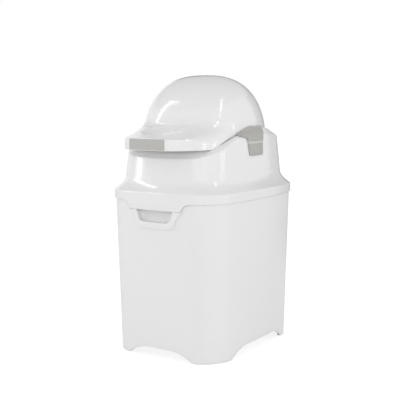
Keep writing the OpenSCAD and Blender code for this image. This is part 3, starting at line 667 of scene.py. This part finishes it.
# %% Grow the head
low = tab_edge()
head_rings = [skirt_at(low, -EDGE), skirt_at(low + EDGE_BEND, -EDGE_BEND), skirt_at(low + EDGE)]
head_rings += [skirt_at(z) for z in (336.5, 341, 347, 351.5, BAND_TOP)]
head_rings += bend(skirt_at(BAND_TOP), skirt_at(354.0), flare_at(0.045), (0.25, 0.5, 0.75))
head_rings += [flare_at(t) for t in (0.045, 0.1, 0.17, 0.25, 0.34, 0.44, 0.55, 0.66, 0.77, 0.88, 1.0)]
crest = shoulder_edge(wall_at(SHOULDER_Z)[:, 1])
wall_foot = FLARE_TOP + 6.0
wall_rise = crest - SHOULDER_SOFT - wall_foot
head_rings += [wall_at(wall_foot + wall_rise * t) for t in (0, 0.12, 0.26, 0.42, 0.58, 0.74, 0.88, 0.96)]
shoulder, mouth = wall_at(crest), opening_at()
along = mouth - shoulder
along /= np.linalg.norm(along, axis=1)[:, None]
slope_from, slope_to = shoulder + SHOULDER_SOFT * along, mouth - 1.0 * along
head_rings += bend(wall_at(crest - SHOULDER_SOFT), shoulder, slope_from, (0, 0.2, 0.4, 0.6, 0.8, 1.0))
swell = SHOULDER_SWELL * np.clip((-mouth[:, 1] - 90) / 45, 0, 1)
for t in (0.1, 0.22, 0.36, 0.52, 0.7, 0.86):
    slope_ring = slope_from + (slope_to - shoulder - SHOULDER_SOFT * along) * t
    slope_ring[:, 2] += swell * 4 * t * (1 - t)
    head_rings.append(slope_ring)
head_rings += bend(slope_to, mouth, opening_at(drop=1.2), (0, 0.3, 0.65, 1.0))
head_rings += [opening_at(drop=LIP_H - 0.6), opening_at(0.6, LIP_H), opening_at(LIP_T - 0.6, LIP_H),
               opening_at(LIP_T, LIP_H - 0.6), opening_at(LIP_T, 4.5)]
head_rings += [wall_at(crest - 3.2, -HEAD_WALL), wall_at(crest - 12.0, -HEAD_WALL),
               wall_at(FLARE_TOP + 0.4 * (crest - FLARE_TOP), -HEAD_WALL)]
head_rings += [flare_at(t, -HEAD_WALL) for t in (1.0, 0.8, 0.6, 0.4, 0.2, 0.0)]
head_rings += [skirt_at(350.7, -2.0), skirt_at(low + 3.0, -2.0), skirt_at(low + 0.3, -2.0),
               skirt_at(low, -1.7)]
finish_piece("head_shell_skin", grow(head_rings), gloss_white, "head", replaces=["head_shell"])

# %% [markdown]
# ## The bosses for the axle
# Each side of the head has a short round boss that holds the drum's bush. A boss is a
# washer: a closed section spun about the axle.

# %% Spin a section about the drum's axle
AXIS_Z = 460.0
BOSS_SECTION = ((120.0, 9.05), (120.0, 13.6), (120.4, 14.0), (122.6, 14.0), (122.6, 9.05))


def spin_about_axle(body, steps):
    """A full spin about the axle along X, with its seam and poles closed."""
    bmesh.ops.spin(body, geom=everything(body), cent=(0, 0, AXIS_Z * MM), axis=(1, 0, 0),
                   angle=2 * math.pi, steps=steps, use_merge=True)
    bmesh.ops.remove_doubles(body, verts=body.verts, dist=1e-6)


def spin_section(section, steps=64):
    """section is a closed loop of x and radius."""
    body = bmesh.new()
    bmesh.ops.create_circle(body, cap_ends=False, segments=len(section), radius=1)
    place(body.verts[:], [(x, 0, AXIS_Z + r) for x, r in section])
    spin_about_axle(body, steps)
    bmesh.ops.recalc_face_normals(body, faces=body.faces)
    return body


bosses = [spin_section([(side * x, r) for x, r in BOSS_SECTION]) for side in (-1, 1)]
finish_piece("axle_bosses", join_skins(bosses), gloss_white, "head")

# %% [markdown]
# ## The drum
# The drum is a barrel whose sides round over like a river stone. That outline is a
# superellipse: with an exponent of 2 it would be an ellipse, and higher ones are squarer.
# Its profile is a chain of edges, spun about the axle, cut off flat below, and given a
# wall by Solidify.

# %% Spin the barrel
DRUM_R, DRUM_HALF_W, DRUM_ROUND, DRUM_WALL = 136.7, 116.8, 2.8, 3.0
DRUM_BOTTOM = 445.0
TRUNNION_R = 6.05
FINE_STEPS = 4001


def run_along(line):
    """Distance walked to each point of a line."""
    return np.concatenate([[0], np.cumsum(np.linalg.norm(np.diff(line, axis=0), axis=1))])


def points_at(line, distances):
    """The points of a line at some distances along it."""
    run = run_along(line)
    return np.column_stack([np.interp(distances, run, line[:, i]) for i in range(2)])


def even_steps(line, count):
    """Points spread evenly along a line of many points."""
    return points_at(line, np.linspace(0, run_along(line)[-1], count))


turn = np.radians(np.linspace(-90, 90, FINE_STEPS))
profile = np.column_stack([DRUM_HALF_W * np.sign(np.sin(turn)) * np.abs(np.sin(turn)) ** (2 / DRUM_ROUND),
                           DRUM_R * np.cos(turn).clip(0) ** (2 / DRUM_ROUND)])
profile = even_steps(profile[profile[:, 1] > TRUNNION_R], 96)

barrel = bmesh.new()
tip = bmesh.ops.create_vert(barrel, co=(profile[0, 0] * MM, 0, (AXIS_Z + profile[0, 1]) * MM))["vert"]
for x, r in profile[1:]:
    tip = bmesh.ops.extrude_vert_indiv(barrel, verts=tip)["verts"]
    tip[0].co = (x * MM, 0, (AXIS_Z + r) * MM)
spin_about_axle(barrel, 160)
bmesh.ops.bisect_plane(barrel, geom=everything(barrel), dist=1e-6, plane_co=(0, 0, DRUM_BOTTOM * MM),
                       plane_no=(0, 0, 1), clear_inner=True)
bmesh.ops.recalc_face_normals(barrel, faces=barrel.faces)
if sum(f.normal.dot(f.calc_center_median() - Vector((0, 0, AXIS_Z * MM))) for f in barrel.faces) < 0:
    bmesh.ops.reverse_faces(barrel, faces=barrel.faces)
print("barrel:", len(barrel.faces), "faces")


# %% Give a skin its wall
def with_wall(skin, thickness):
    """Solidify as a modifier, kept as the mesh; the wall grows inwards."""
    thin = as_object(skin, "thin_part")
    solidify = thin.modifiers.new("wall", "SOLIDIFY")
    solidify.thickness, solidify.offset, solidify.use_even_offset = thickness * MM, -1, True
    return as_modified([thin])


barrel = with_wall(barrel, DRUM_WALL)
print("barrel with its wall:", len(barrel.faces), "faces")

# %% [markdown]
# ## The visor
# The visor is a brim around the drum's front, and it is what the hand pushes. In plan it
# is a superellipse cut flat at the front for the pad. Its top slopes up to the drum and
# meets it in a soft hollow, and its lower edge follows the shoulder with a running gap.
# A brim could be sketched as a plate and blended to the drum with a bevel, but the gap
# sets its edge, so here each upright section through the axle's middle is worked out as
# a line, from the lower edge over the top and into the drum's wall, and the visor grows
# from one section to the next. The top has many rows, because a gloss shows every flat.
# The inside isn't seen, so it takes only every third row.

# %% The visor's sizes
VISOR_HALF_W, VISOR_REACH, VISOR_POINT, VISOR_ROUND = 114.0, 218.5, 224.0, 2.7
VISOR_LOW, VISOR_TOP, CROWN_RISE = 442.5, 466.5, 23.5
VISOR_GAP, VISOR_WALL = 1.2, 3.0
DISH_HALF_W, DISH_HALF_D, DISH_DEPTH, DISH_SOFT = 57.0, 27.0, 5.0, 0.9
DISH_Y, DISH_Z, DISH_TILT = -163.0, VISOR_TOP + 0.62 * CROWN_RISE, math.radians(18)


def visor_low_edge(y):
    """Height of the visor's lower edge, with its gap to the opening's edge."""
    return np.maximum(VISOR_LOW, opening_edge(y) + VISOR_GAP)


def drum_measure(x, y, up):
    """Below 1 inside the barrel, 1 on its skin and above 1 outside it; up is from the axle."""
    return (np.hypot(y, up) / DRUM_R) ** DRUM_ROUND + (np.abs(x) / DRUM_HALF_W) ** DRUM_ROUND


def drum_reach(way, tilt):
    """Distance from the axle's middle to the barrel's skin, along way in plan and up by tilt."""
    ray = np.cos(tilt) * way[0], np.cos(tilt) * way[1], np.sin(tilt)
    return drum_measure(*ray) ** (-1 / DRUM_ROUND)


def brim_reach(way, depth):
    """How far the visor's outline of that depth is from the middle, along way in plan."""
    measure = (abs(way[0]) / VISOR_HALF_W) ** VISOR_ROUND + (abs(way[1]) / depth) ** VISOR_ROUND
    return np.minimum(measure ** (-1 / VISOR_ROUND), VISOR_REACH / abs(way[1]))


def soft_line(start, corner, end, steps):
    """Points along a soft corner, as a quadratic curve."""
    t = np.linspace(0, 1, steps)[:, None]
    return (1 - t) ** 2 * start + 2 * t * (1 - t) * corner + t ** 2 * end


# %% One upright section of the visor
BAND_ROWS, TOP_EDGE_ROWS, TOP_ROWS, HOLLOW_ROWS = 7, 6, 92, 9
INNER_STEP = 3
EDGE_R, HOLLOW_R = 2.6, 6.0


def visor_outer(way):
    """Rows of reach and height from the lower edge to the drum, or None where the drum hides the visor."""
    band_reach = brim_reach(way, VISOR_POINT)
    t = np.linspace(0, 1.25, 500)
    depth = VISOR_POINT - 87 * t ** 0.8 - 2 * np.clip(1 - t, 0, None)
    top = np.column_stack([brim_reach(way, depth), VISOR_TOP + CROWN_RISE * t])
    hidden = drum_measure(top[:, 0] * way[0], top[:, 0] * way[1], top[:, 1] - AXIS_Z) < 1
    if hidden[0]:
        return None
    top = top[:np.argmax(hidden) + 1]
    meet, length = top[-1], np.linalg.norm(np.diff(top, axis=0), axis=1).sum()
    side = smooth((abs(way[0]) - 0.33) / 0.3)
    edge_r = min(EDGE_R, 0.3 * length) * (1 - side) + 0.5 * length * side
    hollow_r = min(HOLLOW_R, 0.45 * length) * (1 - side) + 0.49 * length * side
    start = np.array([band_reach, VISOR_TOP - edge_r * (1 - 0.25 * side)])
    edge_end, hollow_from = points_at(top, [edge_r])[0], points_at(top[::-1], [hollow_r])[0]
    rest = np.concatenate([[edge_end], top[run_along(top) > edge_r]])
    rest = np.concatenate([rest[rest[:, 0] > hollow_from[0]], [hollow_from]])
    tilt = math.atan2(meet[1] - AXIS_Z, meet[0])
    tilts = tilt + np.linspace(0, hollow_r * (1 + 0.5 * side) / np.hypot(*(meet - [0, AXIS_Z])), 30)
    reach = drum_reach(way, tilts) - 0.35 * np.linspace(0, 1, 30)
    up_drum = np.column_stack([reach * np.cos(tilts), AXIS_Z + reach * np.sin(tilts)])
    return np.concatenate([
        np.linspace([band_reach, VISOR_LOW - 12], start, BAND_ROWS, endpoint=False),
        soft_line(start, np.array([band_reach, VISOR_TOP]), edge_end, TOP_EDGE_ROWS)[:-1],
        even_steps(rest, TOP_ROWS),
        soft_line(hollow_from, meet, up_drum[-1], HOLLOW_ROWS)[1:]])


def cut_below(rows, way):
    """Slides the rows below the visor's lower edge up to it; None where nothing is left."""
    run = run_along(rows)
    fine = np.linspace(0, run[-1], 3000)
    reach, height = points_at(rows, fine).T
    under = np.flatnonzero(height < visor_low_edge(reach * way[1]))
    first = fine[min(under[-1] + 1, len(fine) - 1)] if len(under) else 0.0
    if first > run[-1] - 4.0:
        return None
    kept = run > first + 2.2
    spare = (~kept).sum()
    squeezed = np.interp(np.arange(spare), [0, 1, 2, max(3, spare)],
                         [first, first + EDGE_BEND, first + EDGE, run[kept][0]])
    return points_at(rows, np.concatenate([squeezed, run[kept]]))


def visor_section(way):
    """Outer and inner rows; each inner row lies on the ray from the axle to its outer row."""
    rows = visor_outer(way)
    rows = None if rows is None else cut_below(rows, way)
    if rows is None:
        return None
    slope = np.gradient(rows, axis=0)
    slope /= np.linalg.norm(slope, axis=1)[:, None]
    inward = np.column_stack([-slope[:, 1], slope[:, 0]])
    outer = rows.copy()
    outer[:3] += inward[:3] * np.array([[EDGE], [EDGE_BEND], [0.0]])
    tilt = np.arctan2(rows[:, 1] - AXIS_Z, rows[:, 0])
    ray = np.column_stack([np.cos(tilt), np.sin(tilt)])
    facing = np.clip(-(inward * ray).sum(axis=1), 0.22, 1)
    reach = np.hypot(rows[:, 0], rows[:, 1] - AXIS_Z) - VISOR_WALL / facing
    reach[0] += 0.6
    inner = np.maximum(reach, drum_reach(way, tilt) - DRUM_WALL / 2)[:, None] * ray + [0, AXIS_Z]
    return outer, inner


def with_dish(points, lower_by):
    """Presses the oval dish into the visor's top; a soft minimum rounds its edge."""
    x, y, z = points.T
    across = np.hypot(x / DISH_HALF_W, (y - DISH_Y) / (DISH_HALF_D * math.cos(DISH_TILT)))
    floor = DISH_Z + (y - DISH_Y) * math.tan(DISH_TILT) + DISH_DEPTH * (across ** 3 - 1) - lower_by
    lower = 0.5 * (z + floor - np.sqrt((z - floor) ** 2 + DISH_SOFT))
    points[:, 2] = np.where((across < 1.6) & (z > VISOR_TOP - 6), lower, z)
    return points


def visor_ring(way):
    """The section's closed ring in space: its outer rows, and some inner rows back."""
    section = visor_section(way)
    if section is None:
        return None
    sides = []
    for rows, lower_by in ((section[0], 0.0), (section[1][::-INNER_STEP], VISOR_WALL)):
        points = np.column_stack([rows[:, 0] * way[0], rows[:, 0] * way[1], rows[:, 1]])
        sides.append(with_dish(points, lower_by))
    return np.concatenate(sides)


# %% Grow the visor and join it to the barrel
turn = np.linspace(0, math.pi, FINE_STEPS)
outline = np.column_stack([VISOR_HALF_W * np.sign(np.cos(turn)) * np.abs(np.cos(turn)) ** (2 / VISOR_ROUND),
                           -VISOR_POINT * np.abs(np.sin(turn)) ** (2 / VISOR_ROUND)])
ways = even_steps(outline, 441)[1:-1]
ways /= np.linalg.norm(ways, axis=1)[:, None]
visor_rings = [ring for ring in map(visor_ring, ways) if ring is not None]
visor = grow(visor_rings, ends="capped")
print("visor sections:", len(visor_rings), "of", len(ways), "with", len(visor_rings[0]), "points each")
drum = with_boolean(barrel, visor, "UNION")
finish_piece("drum_cover", drum, gloss_white, "drum", replaces=["drum_shell"], crease=45)

# %% [markdown]
# ## The soft pad
# The pad is a strip of warm grey rubber, set into the flat front of the visor. It has
# small round corners and a softened front edge, and stands a little proud.

# %% Grow the pad
PAD_HALF_W, PAD_LOW, PAD_HIGH, PAD_CORNER = 43.8, 443.5, 466.0, 2.0
PAD_FRONT, PAD_BACK = -218.9, -216.7


def pad_ring(y, inset):
    """The pad's outline at depth y, drawn in by an inset."""
    r = max(PAD_CORNER - inset * 0.5, 0.6)
    right, low_z, high_z = PAD_HALF_W - inset - r, PAD_LOW + inset + r, PAD_HIGH - inset - r
    corners = ((right, high_z), (-right, high_z), (-right, low_z), (right, low_z))
    return [(x, y, z) for i, corner in enumerate(corners) for x, z in arc(corner, r, 90 * i, 90 * i + 90, 7)]


pad_rings = [pad_ring(PAD_BACK, 0.0), pad_ring(PAD_FRONT + 0.9, 0.0), pad_ring(PAD_FRONT + 0.4, 0.15),
             pad_ring(PAD_FRONT + 0.1, 0.5), pad_ring(PAD_FRONT, 1.1)]
pad_skin = grow(pad_rings, ends="capped")
finish_piece("soft_pad", pad_skin, pad_grey, "drum", replaces=["handle_pad"])

# %% [markdown]
# ## The side clips
# Each clip is a saddle that covers the end of the axle. Its arm lies on the wall and its
# head wraps over the shoulder, with a tip that runs forward along the opening. Its side
# view is drawn first and cut into strips, and each point is then laid on the head at the
# clip's thickness. A low ridge runs across the arm where it bends over the axle.

# %% Where the head's side stands
CLIP_T, CLIP_SEAT, CLIP_EDGE = 3.8, 0.3, 1.2
WALL_LEAN = 0.06
CLIP_RIDGE_Z, CLIP_RIDGE, CLIP_RIDGE_W = 453.0, 0.8, 1.6


def head_side(y, z, out):
    """X of the head's side at y and z, moved out, with a soft corner at the shoulder."""
    flat = y / (1 - SIDE_BOW)
    crest = shoulder_edge(y) + out
    t = (z - FLARE_TOP) / (SHOULDER_Z - FLARE_TOP)
    a, b = leaning(SKIRT_HALF, SHOULDER_HALF, t, inset=FLARE_IN)
    wall = a * (1 - SIDE_BOW * (flat / b) ** 2) + out
    half_w = SHOULDER_HALF[0] + (SHOULDER_Z - crest) * WALL_LEAN
    at_crest = half_w * (1 - SIDE_BOW * (flat / SHOULDER_HALF[1]) ** 2) + out
    at_mouth = 118 * (1 - SIDE_BOW * (y / 138.5) ** 2)
    share = (z - crest) / (opening_edge(y) + out - crest)
    slope = at_crest + (at_mouth - at_crest) * share
    return 0.5 * (wall + slope - np.sqrt((wall - slope) ** 2 + 0.8))


def mouth_side(y):
    """X of the opening's edge at y."""
    return OPENING_HALF[0] * (1 - (np.abs(y) / OPENING_HALF[1]) ** OPENING_ROUND) ** (1 / OPENING_ROUND)


# %% The clip's side view, softened by cutting its corners
def cut_corners(points, rounds):
    """Each round cuts a quarter off both ends of every side."""
    points = np.asarray(points, float)
    for _ in range(rounds):
        ahead = np.roll(points, -1, axis=0)
        points = np.stack([0.75 * points + 0.25 * ahead, 0.25 * points + 0.75 * ahead], axis=1).reshape(-1, 2)
    return points


crest_y = np.linspace(44, -57, 15)
clip_view = [(-26, 436), (-25, 425), (-14, 425), (-4, 425), (10, 425), (20, 425), (31, 425),
             (32, 436), (33, 452), (37, 468), (42, 480)]
clip_view += list(zip(crest_y, opening_edge(crest_y) + 3.5))
clip_view += [(-61, 471), (-58, 468.5), (-48, 466), (-39, 464.5), (-31, 461), (-28, 450)]
clip_view = cut_corners(clip_view, 3)
clip_view = even_steps(np.vstack([clip_view, clip_view[:1]]), 121)[:-1]


def rim_drop(distance, soft):
    """How far a rounded rim falls at a distance in from the outline."""
    inside = np.clip(distance / soft, 0, 1)
    return soft * (1 - np.sqrt(1 - (1 - inside) ** 2))


def to_outline(y, z, outline):
    """Distance from a point to a closed outline."""
    a, b = outline, np.roll(outline, -1, axis=0)
    ab = b - a
    t = np.clip(((y - a[:, 0]) * ab[:, 0] + (z - a[:, 1]) * ab[:, 1]) / (ab ** 2).sum(axis=1), 0, 1)
    return np.hypot(a[:, 0] + t * ab[:, 0] - y, a[:, 1] + t * ab[:, 1] - z).min()


def side_clip(side):
    clip = bmesh.new()
    bmesh.ops.create_circle(clip, cap_ends=True, segments=len(clip_view), radius=1)
    place(clip.verts[:], [(0, y, z) for y, z in clip_view])
    for inset in (0.25, 0.35, 0.6):
        middle = [max(clip.faces, key=lambda f: f.calc_area())]
        bmesh.ops.inset_region(clip, faces=middle, thickness=inset * MM, use_even_offset=True)
    cuts = [((0, y * MM, 0), (0, 1, 0)) for y in np.arange(-56, 44, 5.0)]
    ridge_cuts = CLIP_RIDGE_Z + CLIP_RIDGE_W * np.linspace(-2, 2, 9)
    cuts += [((0, 0, z * MM), (0, 0, 1)) for z in np.concatenate([np.arange(429, 487, 3.0), ridge_cuts])]
    for point, normal in cuts:
        bmesh.ops.bisect_plane(clip, geom=everything(clip), dist=2e-5, plane_co=point, plane_no=normal)
    grown = bmesh.ops.extrude_face_region(clip, geom=clip.faces[:])["geom"]
    front = {v for v in grown if isinstance(v, bmesh.types.BMVert)}
    for vertex in clip.verts:
        y, z = vertex.co.y / MM, vertex.co.z / MM
        seat = max(float(head_side(y, z, CLIP_SEAT)), float(mouth_side(y)) + 0.1)
        x = seat
        if vertex in front:
            edge = to_outline(y, z, clip_view)
            ridge = CLIP_RIDGE * math.exp(-((z - CLIP_RIDGE_Z) / CLIP_RIDGE_W) ** 2) * min(1, edge / 2)
            x = max(float(head_side(y, z, CLIP_T)) - rim_drop(edge, CLIP_EDGE), seat + 0.3) + ridge
        vertex.co.x = side * x * MM
    bmesh.ops.recalc_face_normals(clip, faces=clip.faces)
    return clip


for side, name in ((-1, "clip_left"), (1, "clip_right")):
    finish_piece("side_" + name, side_clip(side), clip_grey, "head", replaces=[name], crease=60)

# %% [markdown]
# ## The parts that stay as the CAD made them
# The parts inside the bin are plain turned or moulded shapes, and the frame already has
# them right. They keep their meshes and only get a finish.

# %% Give the inner parts their finishes
inner_finishes = {
    inner_white: ["bag_ring", "head_funnel", "visor_underside", "mouth_plate", "drum_cup", "piston_plate",
                  "piston_cover"],
    seal_rubber: ["rim_gasket", "front_drum_seal", "rear_drum_seal", "mouth_seal", "piston_seal"],
    bush_nylon: ["bush_left", "bush_right"],
    turned_steel: ["hinge_pin_left", "hinge_pin_right", "funnel_screws", "cup_screws", "trunnion_left",
                   "trunnion_right", "piston_screws"],
    cast_steel: ["piston_weight"],
}
for material, names in inner_finishes.items():
    for name in names:
        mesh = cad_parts[name].data
        mesh.materials.clear()
        mesh.materials.append(material)
print("inner parts finished:", sum(map(len, inner_finishes.values())))

# %% [markdown]
# ## The studio
# A white product on a white table is lit from everywhere, and then gets a few brighter
# boxes whose reflections draw its form. Two narrow ones stand one over the other on the
# left and lean over the bin. Three thin ones on the right and behind only draw bright
# edges. A broad panel beside the camera and a weak one on the right fill the shade.

# %% Light the bin
MIDDLE = Vector((0.0, 0.0, 0.33))


def softbox(name, foot, head, width, power):
    """A rectangular lamp that stands from foot to head and faces the bin."""
    foot, head = Vector(foot), Vector(head)
    up = (head - foot).normalized()
    back = (foot + head) / 2 - MIDDLE
    back = (back - back.dot(up) * up).normalized()
    data = bpy.data.lights.new(name, "AREA")
    data.shape, data.size, data.size_y, data.energy = "RECTANGLE", width, (head - foot).length, power
    lamp = bpy.data.objects.new(name, data)
    facing = Matrix((up.cross(back), up, back)).transposed().to_4x4()
    lamp.matrix_world = Matrix.Translation((foot + head) / 2) @ facing
    bpy.context.scene.collection.objects.link(lamp)


softbox("left_low", (-1.86, -1.57, 0.42), (-1.67, -1.27, 1.04), 0.17, 2.6)
softbox("left_high", (-1.83, -1.24, 1.13), (-1.26, -0.64, 2.21), 0.20, 5.2)
softbox("right_high", (1.96, -0.28, 1.50), (1.25, 0.25, 2.30), 0.09, 3.0)
softbox("right_low", (2.28, 0.53, 0.08), (2.14, 0.58, 0.93), 0.07, 1.7)
softbox("rear_low", (2.06, 1.10, 0.08), (1.98, 1.06, 0.80), 0.05, 1.3)
softbox("front_panel", (1.29, -2.24, 0.06), (1.15, -1.99, 1.55), 2.4, 6.6)
softbox("side_panel", (2.36, -1.05, 0.06), (2.10, -0.93, 1.55), 1.2, 0.8)

# %% [markdown]
# Two more things keep a white bin from melting into a white surround. A dark curtain
# stands behind the bin. Only the bin's gloss can see it, so it draws a fine line where
# the surface turns away, as black cloth beside a white product does in a studio. And a
# ceiling that glows less than the surround hangs behind and above, so that what faces up
# isn't lit more than what faces the camera. The camera doesn't see either of them.

# %% The dark curtain
CURTAIN_FROM, CURTAIN_H, CURTAIN_TURN = (-0.76, 0.78, 0.0), 1.0, -math.radians(70)
CLOTH_GREY, WHITE = (0.22, 0.22, 0.22, 1), (1, 1, 1, 1)


def studio_paint(stage_piece, name):
    """Gives a studio piece an empty material, and returns what wires it."""
    paint = bpy.data.materials.new(name)
    stage_piece.data.materials.append(paint)
    return Wiring(paint)


curtain_skin = bmesh.new()
tip = bmesh.ops.create_vert(curtain_skin, co=CURTAIN_FROM)["vert"]
bmesh.ops.extrude_vert_indiv(curtain_skin, verts=tip)["verts"][0].co.z = CURTAIN_H
bmesh.ops.spin(curtain_skin, geom=everything(curtain_skin), cent=(0, 0, 0), axis=(0, 0, 1),
               angle=CURTAIN_TURN, steps=20)
curtain = as_object(curtain_skin, "curtain")
curtain.visible_camera = curtain.visible_diffuse = False
curtain.visible_shadow = curtain.visible_transmission = False
cloth = studio_paint(curtain, "dark_cloth")
dull = cloth.node("ShaderNodeBsdfDiffuse", {}, {0: CLOTH_GREY})
cloth.node("ShaderNodeOutputMaterial", {}, {0: dull})

# %% The dim ceiling
CEILING_AT, CEILING_R, CEILING_GLOW = (-1.1, 1.7, 2.65), 3.6, 0.56

ceiling_skin = bmesh.new()
bmesh.ops.create_circle(ceiling_skin, cap_ends=True, segments=48, radius=CEILING_R)
bmesh.ops.translate(ceiling_skin, vec=CEILING_AT, verts=ceiling_skin.verts)
ceiling = as_object(ceiling_skin, "ceiling")
ceiling.visible_camera = False
dim = studio_paint(ceiling, "dim_ceiling")
dim.node("ShaderNodeOutputMaterial", {}, {0: dim.node("ShaderNodeEmission", {}, {0: WHITE, 1: CEILING_GLOW})})
print("curtain and ceiling stand behind and above")

# %% [markdown]
# ## The surround and the table
# The surround is a plain white world. The camera sees it at a strength of 1, which is
# white, and gloss and clear things see the same, while it lights the bin a little less.
# The table works in the same way: to the camera it is mostly a glow with a thin matt
# layer, which keeps the bin's shadow, and to the bin it is a pale matt surface.

# %% The surround
SURROUND, BACKDROP = 0.9, 1.0

world = bpy.data.worlds.new("surround")
bpy.context.scene.world = world
sky = Wiring(world)
by_camera, by_gloss, through = (sky.node("ShaderNodeLightPath", {}, {}, f"Is {ray} Ray")
                                for ray in ("Camera", "Glossy", "Transmission"))
by_either = by_camera + by_gloss
seen = sky.node("ShaderNodeMath", {"operation": "ADD", "use_clamp": True}, {0: by_either, 1: through})
lighting, backdrop = (sky.node("ShaderNodeBackground", {}, {0: WHITE, 1: glow})
                      for glow in (SURROUND, BACKDROP))
choice = sky.node("ShaderNodeMixShader", {}, {0: seen, 1: lighting, 2: backdrop})
sky.node("ShaderNodeOutputWorld", {}, {0: choice})
bpy.context.scene.view_settings.view_transform = "Standard"
print("surround lights at", SURROUND, "and is seen at", BACKDROP)

# %% The table
TABLE_HALF, TABLE_DROP = 12.0, 0.0005
TABLE_MATT, TABLE_SEEN, TABLE_GLOW = (0.9, 0.9, 0.9, 1), (0.3, 0.3, 0.3, 1), 0.85

table_skin = bmesh.new()
bmesh.ops.create_grid(table_skin, x_segments=8, y_segments=8, size=TABLE_HALF)
bmesh.ops.translate(table_skin, vec=(0, 0, -TABLE_DROP), verts=table_skin.verts)
table_top = as_object(table_skin, "table_top")
table = studio_paint(table_top, "pale_table")
by_camera = table.node("ShaderNodeLightPath", {}, {}, "Is Camera Ray")
matt, seen_matt = (table.node("ShaderNodeBsdfDiffuse", {}, {0: grey}) for grey in (TABLE_MATT, TABLE_SEEN))
glow = table.node("ShaderNodeEmission", {}, {0: WHITE, 1: TABLE_GLOW})
seen = table.node("ShaderNodeAddShader", {}, {0: glow, 1: seen_matt})
choice = table.node("ShaderNodeMixShader", {}, {0: by_camera, 1: matt, 2: seen})
table.node("ShaderNodeOutputMaterial", {}, {0: choice})
print("table is", 2 * TABLE_HALF, "m wide")
